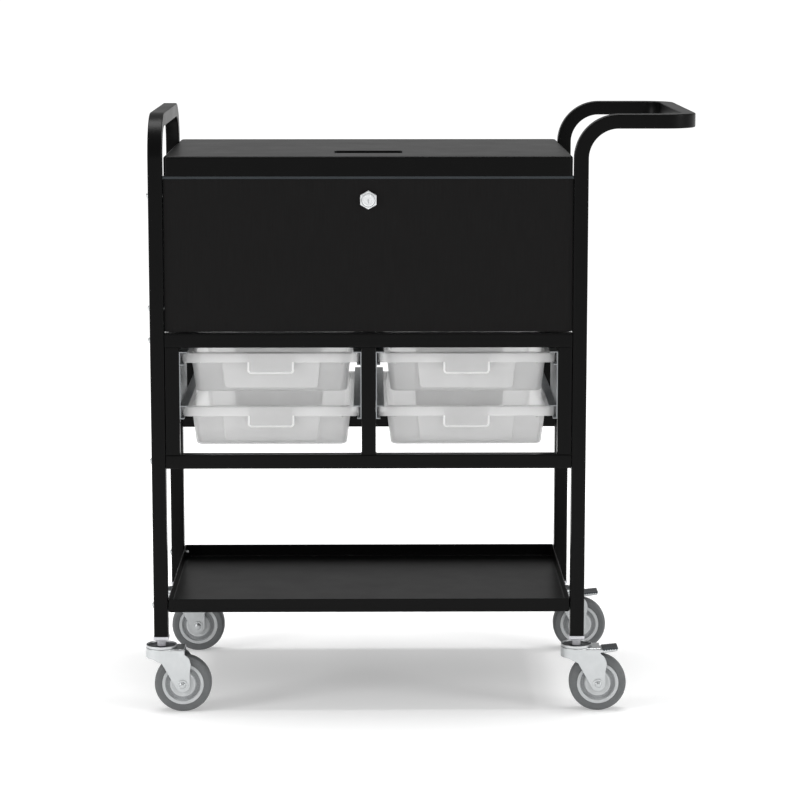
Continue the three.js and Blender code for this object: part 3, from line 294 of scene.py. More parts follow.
def circle(radius, around):
    """Points round a circle, at the same angles as the hexagon's."""
    angle = np.linspace(0, 2 * math.pi, around, endpoint=False)
    return radius * np.stack([np.cos(angle), np.sin(angle)], -1)


def stacked(loops, centre, axis):
    """A skin over plan loops, each at its own distance along an axis."""
    rings = []
    for loop, along in loops:
        depth = np.full(len(loop), float(along))
        u, v = loop[:, 0], loop[:, 1]
        rings.append(np.stack({"x": (depth, u, v), "y": (u, depth, v), "z": (u, v, depth)}[axis], -1))
    return np.array(rings) + np.asarray(centre, float)


def piece(name, shells, finish, body, stands_for):
    """Makes one piece from closed shells and puts it on its body, in place of its part."""
    points, faces, count = [], [], 0
    for shell_points, quads, caps in shells:
        points.append(shell_points)
        faces += (quads + count).tolist() + [(cap + count).tolist() for cap in caps]
        count += len(shell_points)
    mesh = bpy.data.meshes.new(name)
    mesh.from_pydata((np.concatenate(points) * MM).tolist(), [], faces)
    mesh.polygons.foreach_set("use_smooth", np.ones(len(mesh.polygons), bool))
    mesh.set_sharp_from_angle(angle=math.radians(SHARP_DEGREES))
    mesh.materials.append(finish)
    made = bpy.data.objects.new(name, mesh)
    bpy.context.scene.collection.objects.link(made)
    level = made.modifiers.new("level_flats", "WEIGHTED_NORMAL")
    level.keep_sharp = True
    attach(made, body)
    if stands_for:
        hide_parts(*stands_for)
    return made


# ----------------------------------------------------------------- materials

def linear(hex_colour):
    """A hex sRGB colour as linear red, green, blue and alpha."""
    srgb = np.array([int(hex_colour[k:k + 2], 16) for k in (1, 3, 5)]) / 255
    value = np.where(srgb <= 0.04045, srgb / 12.92, ((srgb + 0.055) / 1.055) ** 2.4)
    return (*value.tolist(), 1.0)


def add(tree, kind, settings=None, out=0, **inputs):
    """Adds one node and gives back one of its outputs, or the node where it has none. An input
    is a plain value, or another node's output to link; two low lines stand for a space in its
    name, and a low line and a number for its place in the list."""
    made = tree.nodes.new(kind)
    for name, value in (settings or {}).items():
        setattr(made, name, value)
    for name, value in inputs.items():
        socket = made.inputs[int(name[1:])] if name[0] == "_" else made.inputs[name.replace("__", " ")]
        if isinstance(value, bpy.types.NodeSocket):
            tree.links.new(value, socket)
        else:
            socket.default_value = value
    return made.outputs[out] if len(made.outputs) else made


def per_mm(size):
    """A texture scale whose features are this many millimetres across."""
    return 1.0 / (size * MM)


def material(name, recipe):
    """A named finish. The recipe gets the node tree and the piece's own coordinates, and returns
    its principled shader's inputs, or a whole surface where one such shader isn't enough."""
    made = bpy.data.materials.new(name)
    made.use_nodes = True
    tree = made.node_tree
    tree.nodes.clear()
    place = add(tree, "ShaderNodeTexCoord", out="Object")
    surface = recipe(tree, place)
    if isinstance(surface, dict):
        surface = add(tree, "ShaderNodeBsdfPrincipled", **surface)
    add(tree, "ShaderNodeOutputMaterial", Surface=surface)
    return made


def powder_coat(tree, place):
    # Polyester powder, sprayed dry on steel and baked. It flows into low swells a couple of
    # millimetres wide, which break a highlight into a fine shimmer, over a slower drift in gloss.
    peel = add(tree, "ShaderNodeTexNoise", Vector=place, Scale=per_mm(1.7), Detail=2.0, Roughness=0.5)
    drift = add(tree, "ShaderNodeTexNoise", Vector=place, Scale=per_mm(60), Detail=2.0, Roughness=0.55)
    return {
        "Base__Color": add(
            tree, "ShaderNodeMix", COLOUR, 2, _0=drift, _6=linear("#030303"), _7=linear("#050505"),
        ),
        "Roughness": add(tree, "ShaderNodeMapRange", Value=drift, To__Min=0.3, To__Max=0.38),
        "Specular__IOR__Level": 0.1,
        "Normal": add(tree, "ShaderNodeBump", Strength=1.0, Distance=0.035 * MM, Height=peel),
    }


def laminate(tree, place):
    # Printed melamine paper pressed on a thin board, with fine streaks that run upright. The
    # streaks change the gloss a little more than the colour.
    upright = add(tree, "ShaderNodeMapping", Vector=place, Scale=(1.0, 1.0, 0.02))
    streak = add(tree, "ShaderNodeTexNoise", Vector=upright, Scale=per_mm(1.3), Detail=4.0, Roughness=0.7)
    return {
        "Base__Color": add(
            tree, "ShaderNodeMix", COLOUR, 2, _0=streak, _6=linear("#070707"), _7=linear("#1B1A1A"),
        ),
        "Roughness": add(tree, "ShaderNodeMapRange", Value=streak, To__Min=0.4, To__Max=0.6),
        "Specular__IOR__Level": 0.08,
        "Normal": add(tree, "ShaderNodeBump", Strength=1.0, Distance=0.02 * MM, Height=streak),
    }


def zinc(tree, place):
    # Steel with a bright electroplated zinc coat. Pressing leaves the sheet slightly wavy, and
    # the coat has a soft cloud of duller and brighter patches, with fine rolling marks.
    cloud = add(tree, "ShaderNodeTexNoise", Vector=place, Scale=per_mm(14), Detail=3.0, Roughness=0.55)
    grain = add(tree, "ShaderNodeTexNoise", Vector=place, Scale=per_mm(0.7), Detail=2.0, Roughness=0.55)
    return {
        "Base__Color": add(
            tree, "ShaderNodeMix", COLOUR, 2, _0=cloud, _6=linear("#B8BBBC"), _7=linear("#CDCFD0"),
        ),
        "Metallic": 1.0,
        "Roughness": add(tree, "ShaderNodeMapRange", Value=cloud, To__Min=0.27, To__Max=0.42),
        "Normal": add(tree, "ShaderNodeBump", Strength=1.0, Distance=0.006 * MM, Height=grain),
    }


def dull_zinc(tree, place):
    # The stem is machined and barrel plated, which leaves the zinc pale and nearly matt.
    cloud = add(tree, "ShaderNodeTexNoise", Vector=place, Scale=per_mm(6), Detail=3.0, Roughness=0.55)
    grain = add(tree, "ShaderNodeTexNoise", Vector=place, Scale=per_mm(0.5), Detail=2.0, Roughness=0.55)
    return {
        "Base__Color": add(
            tree, "ShaderNodeMix", COLOUR, 2, _0=cloud, _6=linear("#CDCDD2"), _7=linear("#DEDEE2"),
        ),
        "Metallic": 0.45,
        "Roughness": add(tree, "ShaderNodeMapRange", Value=cloud, To__Min=0.5, To__Max=0.62),
        "Normal": add(tree, "ShaderNodeBump", Strength=1.0, Distance=0.01 * MM, Height=grain),
    }


def rolled_zinc_painted_shade(tree, place):
    # Pre-galvanised strip, folded cold. Rolling marks run along its length and smear the reflections that way;
    # it is coloured a darker grey than the other zinc, as painted shade for the runners inside the tray bays.
    lengthways = add(tree, "ShaderNodeMapping", Vector=place, Scale=(1.0, 0.03, 1.0))
    mark = add(tree, "ShaderNodeTexNoise", Vector=lengthways, Scale=per_mm(0.9), Detail=4.0, Roughness=0.65)
    cloud = add(tree, "ShaderNodeTexNoise", Vector=place, Scale=per_mm(22), Detail=2.0, Roughness=0.55)
    return {
        "Base__Color": add(
            tree, "ShaderNodeMix", COLOUR, 2, _0=cloud, _6=linear("#7C7F81"), _7=linear("#9DA0A2"),
        ),
        "Metallic": 1.0,
        "Roughness": add(tree, "ShaderNodeMapRange", Value=mark, To__Min=0.3, To__Max=0.5),
        "Normal": add(tree, "ShaderNodeBump", Strength=1.0, Distance=0.01 * MM, Height=mark),
    }


def blued_steel(tree, place):
    # Pressed steel, oiled after a dark phosphate dip. Crystals under the oil give a fine dull
    # speckle on a satin metal.
    speckle = add(tree, "ShaderNodeTexNoise", Vector=place, Scale=per_mm(0.8), Detail=2.0, Roughness=0.55)
    cloud = add(tree, "ShaderNodeTexNoise", Vector=place, Scale=per_mm(18), Detail=2.0, Roughness=0.55)
    return {
        "Base__Color": add(
            tree, "ShaderNodeMix", COLOUR, 2, _0=speckle, _6=linear("#34373A"), _7=linear("#4A4E51"),
        ),
        "Metallic": 1.0,
        "Roughness": add(tree, "ShaderNodeMapRange", Value=cloud, To__Min=0.34, To__Max=0.5),
        "Normal": add(tree, "ShaderNodeBump", Strength=1.0, Distance=0.008 * MM, Height=speckle),
    }


def pearl_chrome(tree, place):
    # Die-cast zinc under satin pearl chromium. Fine pores scatter part of the light, so the face
    # stays pale where a mirror would show the room; the cast edge keeps a long swell.
    swell = add(tree, "ShaderNodeTexNoise", Vector=place, Scale=per_mm(5), Detail=1.0, Roughness=0.55)
    return {
        "Base__Color": add(
            tree, "ShaderNodeMix", COLOUR, 2, _0=swell, _6=linear("#CFD1D2"), _7=linear("#DFE1E2"),
        ),
        "Metallic": 0.3,
        "Roughness": add(tree, "ShaderNodeMapRange", Value=swell, To__Min=0.22, To__Max=0.3),
        "Normal": add(tree, "ShaderNodeBump", Strength=1.0, Distance=0.01 * MM, Height=swell),
    }


def milky(tree, place, dark, light, clear):
    """Undyed polypropylene, injection moulded. Its crystals scatter light, so a thin wall glows
    with whatever is behind it and lets a little straight through; flow from the gate leaves
    faint cloudy bands, and the mould's polish a soft gloss."""
    flow = add(tree, "ShaderNodeTexNoise", Vector=place, Scale=per_mm(45), Detail=3.0, Roughness=0.55)
    polish = add(tree, "ShaderNodeTexNoise", Vector=place, Scale=per_mm(0.9), Detail=1.0, Roughness=0.55)
    tone = add(tree, "ShaderNodeMix", COLOUR, 2, _0=flow, _6=linear(dark), _7=linear(light))
    gloss = add(tree, "ShaderNodeMapRange", Value=flow, To__Min=0.26, To__Max=0.38)
    relief = add(tree, "ShaderNodeBump", Strength=1.0, Distance=0.006 * MM, Height=polish)
    skin = add(tree, "ShaderNodeBsdfPrincipled", Base__Color=tone, Roughness=gloss, IOR=1.49, Normal=relief)
    through = add(tree, "ShaderNodeBsdfTranslucent", Color=tone)
    straight = add(tree, "ShaderNodeBsdfTransparent", Color=linear("#FAFAFA"))
    wall = add(tree, "ShaderNodeMixShader", _0=0.5, _1=skin, _2=through)
    return add(tree, "ShaderNodeMixShader", _0=clear, _1=wall, _2=straight)


def polypropylene(tree, place):
    # A tray's thin wall.
    return milky(tree, place, "#F5F5F5", "#FCFCFC", 0.42)


def grip_shade_polypropylene(tree, place):
    # The same plastic where two walls lie together: less light comes through, and it is coloured greyer than
    # the wall as painted shade for the grip's recess.
    return milky(tree, place, "#E2E2E2", "#EEEEEE", 0.3)


def bead_highlight_polypropylene(tree, place):
    # A solid bead of it, coloured whiter than the wall and letting nothing straight through: a painted
    # highlight along the grip's edge.
    return milky(tree, place, "#FDFDFD", "#FFFFFF", 0.0)


def rubber(tree, place):
    # Grey thermoplastic rubber, moulded on the wheel. It is matt with a fine pitted skin, and
    # floor dust lightens it in soft patches.
    dust = add(tree, "ShaderNodeTexNoise", Vector=place, Scale=per_mm(9), Detail=4.0, Roughness=0.55)
    pit = add(tree, "ShaderNodeTexNoise", Vector=place, Scale=per_mm(0.6), Detail=2.0, Roughness=0.55)
    return {
        "Base__Color": add(
            tree, "ShaderNodeMix", COLOUR, 2, _0=dust, _6=linear("#5A5C5D"), _7=linear("#707273"),
        ),
        "Roughness": add(tree, "ShaderNodeMapRange", Value=dust, To__Min=0.62, To__Max=0.8),
        "Normal": add(tree, "ShaderNodeBump", Strength=1.0, Distance=0.03 * MM, Height=pit),
    }


def nylon(tree, place):
    # Pale grey nylon, injection moulded, with a spark-eroded mould's fine even grain.
    tone = add(tree, "ShaderNodeTexNoise", Vector=place, Scale=per_mm(16), Detail=2.0, Roughness=0.55)
    grain = add(tree, "ShaderNodeTexNoise", Vector=place, Scale=per_mm(0.5), Detail=2.0, Roughness=0.55)
    return {
        "Base__Color": add(
            tree, "ShaderNodeMix", COLOUR, 2, _0=tone, _6=linear("#B9BCBD"), _7=linear("#CACCCD"),
        ),
        "Roughness": add(tree, "ShaderNodeMapRange", Value=tone, To__Min=0.4, To__Max=0.52),
        "Normal": add(tree, "ShaderNodeBump", Strength=1.0, Distance=0.012 * MM, Height=grain),
    }


def grained_nylon_painted_shade(tree, place):
    # The wheel's web keeps the mould's coarse spark grain, mottled light and dark, and is coloured darker than
    # the hub: painted shade for the recess between hub and tyre.
    grain = add(tree, "ShaderNodeTexNoise", Vector=place, Scale=per_mm(1.6), Detail=4.0, Roughness=0.75)
    return {
        "Base__Color": add(
            tree, "ShaderNodeMix", COLOUR, 2, _0=grain, _6=linear("#6A6C6E"), _7=linear("#C2C4C6"),
        ),
        "Roughness": add(tree, "ShaderNodeMapRange", Value=grain, To__Min=0.5, To__Max=0.75),
        "Normal": add(tree, "ShaderNodeBump", Strength=1.0, Distance=0.12 * MM, Height=grain),
    }


FINISH = {
    "black_powder_coat": material("black_powder_coat", powder_coat),
    "black_laminate": material("black_laminate", laminate),
    "zinc_plate": material("zinc_plate", zinc),
    "rolled_zinc_painted_shade": material("rolled_zinc_painted_shade", rolled_zinc_painted_shade),
    "dark_steel": material("dark_steel", blued_steel),
    "chrome_plate": material("chrome_plate", pearl_chrome),
    "clear_plastic": material("clear_plastic", polypropylene),
    "grip_painted_shade_plastic": material("grip_painted_shade_plastic", grip_shade_polypropylene),
    "bead_painted_highlight_plastic": material("bead_painted_highlight_plastic", bead_highlight_polypropylene),
    "dull_zinc": material("dull_zinc", dull_zinc),
    "grained_nylon_painted_shade": material("grained_nylon_painted_shade", grained_nylon_painted_shade),
    "grey_rubber": material("grey_rubber", rubber),
    "grey_nylon": material("grey_nylon", nylon),
}


# ---------------------------------------------------------------- end frames

def make_end_frames():
    """The left hoop bends twice. The right frame bends four times, out to the push handle and
    back. Both are one square tube along their centre lines."""
    low, high = box_mm("left_hoop_frame")
    x = (low[0] + high[0]) / 2
    front, back = low[1] + TUBE / 2, high[1] - TUBE / 2
    foot, top = low[2], high[2] - TUBE / 2
    hoop = bent_tube([(x, front, foot), (x, front, top), (x, back, top), (x, back, foot)], [BEND, BEND])
    coat = FINISH["black_powder_coat"]
    piece("left_hoop", [hoop], coat, "cart_frame", ["left_hoop_frame"])

    low, high = box_mm("right_handle_frame")
    x, grip = low[0] + TUBE / 2, high[0] - TUBE / 2
    corners = [
        (x, front, foot), (x, front, top), (grip, front, top),
        (grip, back, top), (x, back, top), (x, back, foot),
    ]
    handle = bent_tube(corners, [BEND, HANDLE_BEND, HANDLE_BEND, BEND])
    piece("right_handle", [handle], coat, "cart_frame", ["right_handle_frame"])


def make_bolts():
    """Each bolt is a turned dome with a driving recess, a turned shank, and a six-sided nut
    where the real one has a nut."""
    names = (
        "cabinet_upper_bolt", "cabinet_lower_bolt", "tray_unit_upper_bolt", "tray_unit_lower_bolt",
        "shelf_bolt", "shelf_rear_bolt",
    )
    for name in names:
        low, high = box_mm(name)
        middle = (low + high) / 2
        centre = (0, middle[1], middle[2])
        face = low[0] + BOLT_DOME
        angle = np.linspace(0, math.pi / 2, 9)[:-1]
        radii = np.concatenate([BOLT_RADIUS * np.cos(angle), [1.9, 1.7]])
        places = np.concatenate([face - BOLT_DOME * np.sin(angle), [low[0], low[0] + 1.6]])
        radii[-3] = 2.1
        places[-3] = low[0] + 0.1
        head = np.column_stack([np.r_[BOLT_RADIUS, radii], np.r_[face, places]])
        shank = [(3.0, face - 0.5), (3.0, high[0] - 0.6), (2.4, high[0])]
        shells = [turned(head, centre, "x", 40, False), turned(shank, centre, "x", 24, False)]
        if name not in ("tray_unit_upper_bolt", "tray_unit_lower_bolt"):
            loops = [
                (hexagon(3.6, 36), high[0] - 5), (hexagon(4.0, 36), high[0] - 4.5),
                (hexagon(4.0, 36), high[0] - 0.9), (hexagon(3.6, 36), high[0] - 0.4),
            ]
            shells.append(loft(stacked(loops, centre, "x")))
        piece(name + "_fine", shells, FINISH["zinc_plate"], "cart_frame", [name])


# -------------------------------------------------------- cabinet, lid, lock

def make_lid():
    """A folded steel lid. Its section runs up the outer face, round the top edge, across the top
    to the finger opening, and back along the underside, a sheet's thickness inside."""
    low, high = box_mm("lid")
    dish_low, dish_high = box_mm("lid_pull_dish")
    hole = rounded_loop(
        dish_low[0] + PULL_FLANGE, dish_high[0] - PULL_FLANGE,
        dish_low[1] + PULL_FLANGE, dish_high[1] - PULL_FLANGE, 5.0,
    )
    edge, corner = 6.0, 7.0
    foot, top, under = low[2] + 0.4, high[2], high[2] - SHEET
    outer = rounded(
        [(1.0, foot, corner), (0, foot, corner), (0, top, corner), (edge + 2, top, corner)],
        [0, 0.7, edge, 0], steps=10,
    )
    inner = rounded(
        [
            (edge + 2, under, corner - SHEET), (SHEET, under, corner - SHEET),
            (SHEET, foot, corner - SHEET),
        ],
        [0, edge - SHEET, 0], steps=10,
    )

    def ring(inset, z, radius):
        loop = rounded_loop(low[0] + inset, high[0] - inset, low[1] + inset, high[1] - inset, radius)
        return at_height(loop, z)

    outward_signs = np.sign(hole - hole.mean(0))
    rings = [ring(*row) for row in outer]
    rings += [
        at_height(hole + grown * outward_signs, z)
        for grown, z in ((1.6, top), (0.5, top - 0.3), (0.0, top - 1.1), (0.0, top - SHEET))
    ]
    rings += [ring(*row) for row in inner]
    coat = FINISH["black_powder_coat"]
    piece("lid_shell", [loft(np.array(rings), True)], coat, "lid", ["lid"])

    wall = 1.5
    foot, top = dish_low[2], dish_high[2]
    profile = rounded(
        [
            (PULL_FLANGE + wall + 14, foot + wall, 2), (PULL_FLANGE + wall, foot + wall, 5),
            (PULL_FLANGE, top, 5), (0, top, 6), (0, top - wall, 6),
            (PULL_FLANGE - 1.2, top - wall, 6.5), (PULL_FLANGE, foot, 6.5), (PULL_FLANGE + 14, foot, 2),
        ],
        [0, 4, 1.2, 0.4, 0.4, 1, 5, 0], steps=6,
    )
    dish = pressed(dish_low, dish_high, profile)
    piece("lid_pull", [dish], coat, "lid", ["lid_pull_dish"])


def make_lock():
    """The lock's face is a hexagon that turns round inside it, ring by ring, into a round recess
    and the bore; the plug's face narrows, ring by ring, to the key slot."""
    low, high = box_mm("lock_body")
    plug_low, plug_high = box_mm("lock_plug")
    centre = ((low[0] + high[0]) / 2, 0, (low[2] + high[2]) / 2)
    front, face, back = low[1], low[1] + 6.0, high[1]
    around, corner = 72, 28.6 / math.sqrt(3)
    turn = math.pi / 6
    loops = [
        (hexagon(corner - 0.3, around, turn), face), (hexagon(corner, around, turn), face - 0.4),
        (hexagon(corner, around, turn), front + 1.8), (hexagon(corner - 0.6, around, turn), front + 0.6),
        (hexagon(corner - 2.0, around, turn), front), (circle(12.6, around), front),
        (circle(11.9, around), front + 0.4), (circle(11.6, around), front + 1.2),
        (circle(11.6, around), front + 3), (circle(5.8, around), front + 3),
        (circle(5.8, around), back), (circle(9.5, around), back), (circle(9.5, around), face),
    ]
    chrome = FINISH["chrome_plate"]
    case = loft(stacked(loops, centre, "y"), True)
    piece("lock_case", [case], chrome, "cart_frame", ["lock_body"])

    disc_front, disc_back = plug_low[1], plug_low[1] + 4.0
    angle = np.linspace(0, 2 * math.pi, around, endpoint=False)
    slot = np.stack([0.8 * np.clip(1.8 * np.cos(angle), -1, 1), -1.5 + 3.5 * np.sin(angle)], -1)
    loops = [
        (circle(5.5, around), plug_high[1]), (circle(5.5, around), disc_back),
        (circle(10.9, around), disc_back), (circle(11.3, around), disc_back - 0.4),
        (circle(11.3, around), disc_front + 1.0), (circle(10.9, around), disc_front + 0.45),
        (circle(10.2, around), disc_front + 0.2), (circle(8.5, around), disc_front),
        (circle(7.9, around), disc_front + 0.35), (circle(7.2, around), disc_front + 0.35),
        (slot * 1.15, disc_front + 0.35), (slot, disc_front + 0.6), (slot, disc_front + 3.0),
    ]
    plug = loft(stacked(loops, centre, "y"))
    piece("lock_face", [plug], chrome, "lock_cylinder", ["lock_plug"])


# ----------------------------------------------------- tray unit and shelf

def make_ladders():
    """Each ladder is two long tubes with three short ones welded between them, and a rounded
    bead of weld along the front and back of each joint."""
    for name in ("tray_unit_front_frame", "tray_unit_rear_frame"):
        low, high = box_mm(name)
        y = (low[1] + high[1]) / 2
        below, above = low[2] + TUBE / 2, high[2] - TUBE / 2
        middle = (low[0] + high[0]) / 2
        posts = (low[0] + TUBE / 2, middle, high[0] - TUBE / 2)
        shells = [rail((low[0], y, z), (high[0], y, z)) for z in (below, above)]
        shells += [rail((x, y, below + TUBE / 2 - 0.4), (x, y, above - TUBE / 2 + 0.4)) for x in posts]
        for x in posts:
            for z, way in ((below + TUBE / 2, 1), (above - TUBE / 2, -1)):
                for side in (-1, 1):
                    if (x == posts[0] and side < 0) or (x == posts[2] and side > 0):
                        continue
                    edge = x + side * TUBE / 2
                    bead = rounded(
                        [
                            (edge - side * 0.5, z - way * 0.5), (edge + side * 2.2, z - way * 0.5),
                            (edge - side * 0.5, z + way * 2.2),
                        ],
                        [0.3, 0.8, 0.8], True, 4,
                    )
                    shells.append(plate(bead, "y", y - TUBE / 2 + 2.5, y + TUBE / 2 - 2.5, 0.3))
        coat = FINISH["black_powder_coat"]
        piece(name + "_fine", shells, coat, "cart_frame", [name])


def make_shelf():
    """The shelf is one sheet folded up on all four sides: floor, fold, lip, rounded lip edge, and
    the same again outside."""
    low, high = box_mm("bottom_shelf")
    floor = low[2] + SHEET
    profile = rounded(
        [
            (30, floor, 2), (SHEET, floor, 2), (SHEET, high[2], 2),
            (0, high[2], 3.5), (0, low[2], 3.5), (30, low[2], 2),
        ],
        [0, 1.6, 0.9, 0.9, 3.4, 0], steps=6,
    )
    shelf = pressed(low, high, profile)
    coat = FINISH["black_powder_coat"]
    piece("shelf", [shelf], coat, "cart_frame", ["bottom_shelf"])


def tray_shells(low, high):
    """The tray's section runs over the inside floor, up the leaning wall, across the rim, down
    and back up its skirt, and down the outside. Each end has a raised middle, a hanging pocket
    held by two ribs, and small gussets under the rim."""
    top, bottom = high[2], low[2]
    body, foot = RIM_WIDTH, RIM_WIDTH + DRAFT
    profile = rounded(
        [
            (foot + 24, bottom + TRAY_WALL, 3), (foot + TRAY_WALL, bottom + TRAY_WALL, 9),
            (body + TRAY_WALL, top, 10), (0, top, 12), (0, top - RIM_HEIGHT, 12),
            (TRAY_WALL, top - RIM_HEIGHT, 10), (TRAY_WALL, top - TRAY_WALL, 10),
            (body, top - TRAY_WALL, 12), (foot, bottom, 11), (foot + 24, bottom, 3),
        ],
        [0, 5, 1.4, 1.6, 0.8, 0.8, 1.0, 1.5, 6.5, 0], steps=6,
    )
    shells = [pressed(low, high, profile)]
    x = (low[0] + high[0]) / 2
    for end, way in ((low[1], 1), (high[1], -1)):
        def wall(z):
            return end + way * (body + DRAFT * (top - z) / (top - bottom))

        face_low, face_high = bottom + 7, top - TRAY_WALL - 0.6
        outline = rounded(
            [(-81.6, face_low), (81.6, face_low), (88, face_high), (-88, face_high)], [6, 6, 1, 1], True, 5
        )
        rings = []
        for proud, inset in ((-1.2, 0.0), (3.6, 0.0), (4.6, 0.5), (5.0, 1.6)):
            loop = inset_outline(outline, inset)
            rings.append(np.stack([x + loop[:, 0], wall(loop[:, 1]) - way * proud, loop[:, 1]], -1))
        shells.append(loft(np.array(rings)))
        pocket_foot = top - 37
        for side in (-1, 1):
            rib_near, rib_far = sorted((end + way * 2.4, wall(top - 24) - way * 4.6))
            rib = rounded(
                [
                    (rib_near, pocket_foot + 7), (rib_far, pocket_foot + 7),
                    (rib_far, top - 3), (rib_near, top - 3),
                ],
                [1] * 4, True, 3,
            )
            near_x, far_x = sorted((x + side * 41, x + side * 38.6))
            shells.append(plate(rib, "x", near_x, far_x, 0.4))
            edge = x + side * ((high[0] - low[0]) / 2 - body - 16)
            gusset = [
                (end + way * (TRAY_WALL - 0.3), top - RIM_HEIGHT + 1), (end + way * (TRAY_WALL - 0.3), top - 3),
                (wall(top - 3) + way * 0.8, top - 3), (wall(top - 22) + way * 0.8, top - 22),
            ]
            shells.append(plate(gusset, "x", edge - 1.1, edge + 1.1, 0.4))
    return shells


def grip_bead(x, end, way, foot, head):
    """A half-round bead down one side of a finger grip, across its foot and up the other side:
    a small section carried along a line with two rounded corners."""
    half, low = 39.2, foot + 1.8
    line = rounded([(-half, head), (-half, low), (half, low), (half, head)], [0, 5, 5, 0], steps=6)
    step = np.gradient(line, axis=0)
    step /= np.linalg.norm(step, axis=1, keepdims=True)
    side = np.stack([-step[:, 1], step[:, 0]], -1)
    angle = np.linspace(0, 2 * math.pi, 14, endpoint=False)
    across, deep = 1.8 * np.cos(angle), 1.5 + 1.5 * np.sin(angle)
    points = line[:, None] + side[:, None] * across[None, :, None]
    depth = np.broadcast_to(end + way * (deep - 0.9), points.shape[:2])
    return loft(np.stack([x + points[..., 0], depth, points[..., 1]], -1))


def grip_shells(low, high):
    """The web of the finger grip at each end of a tray, inside its bead."""
    x, top = (low[0] + high[0]) / 2, high[2]
    foot, head = top - 35, top - 1.6
    web = rounded([(-38.6, foot), (38.6, foot), (38.6, head), (-38.6, head)], [5, 5, 0.6, 0.6], True, 6)
    shells = []
    for end, way in ((low[1], 1), (high[1], -1)):
        near, far = sorted((end - way * 0.15, end + way * 1.6))
        shells.append(plate(web + [x, 0], "y", near, far, 0.4))
    return shells


def make_trays():
    """Each tray is its moulding, the webs of its two finger grips, and the beads round them."""
    for name in ("left_lower_tray", "left_upper_tray", "right_lower_tray", "right_upper_tray"):
        low, high = box_mm(name)
        shells = tray_shells(low, high)
        piece(name + "_moulding", shells, FINISH["clear_plastic"], name, [name])
        # The grip webs take a greyer copy of the tray plastic: painted shade.
        piece(name + "_grip", grip_shells(low, high), FINISH["grip_painted_shade_plastic"], name, [])
        beads = [
            grip_bead((low[0] + high[0]) / 2, end, way, high[2] - 37, high[2] - RIM_HEIGHT + 1)
            for end, way in ((low[1], 1), (high[1], -1))
        ]
        # The beads take a whiter copy of the tray plastic: painted highlight.
        piece(name + "_bead", beads, FINISH["bead_painted_highlight_plastic"], name, [])


# ------------------------------------------------------------------- casters

def leg_low(x, wheel, crown):
    """The height of the fork's lower edge at a distance behind the kingpin: a slope along the
    skirt, a steeper one down the front of the leg, and the circle round the axle."""
    arc_start = TRAIL - LEG_END * math.cos(0.12 * math.pi)
    arc_z = wheel - LEG_END * math.sin(0.12 * math.pi)
    skirt = np.interp(x, [-HEAD, -16.0, 2.0, arc_start], [crown - 18.5, crown - 19.0, crown - 27.0, arc_z])
    reach = np.clip(LEG_END ** 2 - (x - TRAIL) ** 2, 0, None)
    return np.where(x < arc_start, skirt, wheel - np.sqrt(reach))


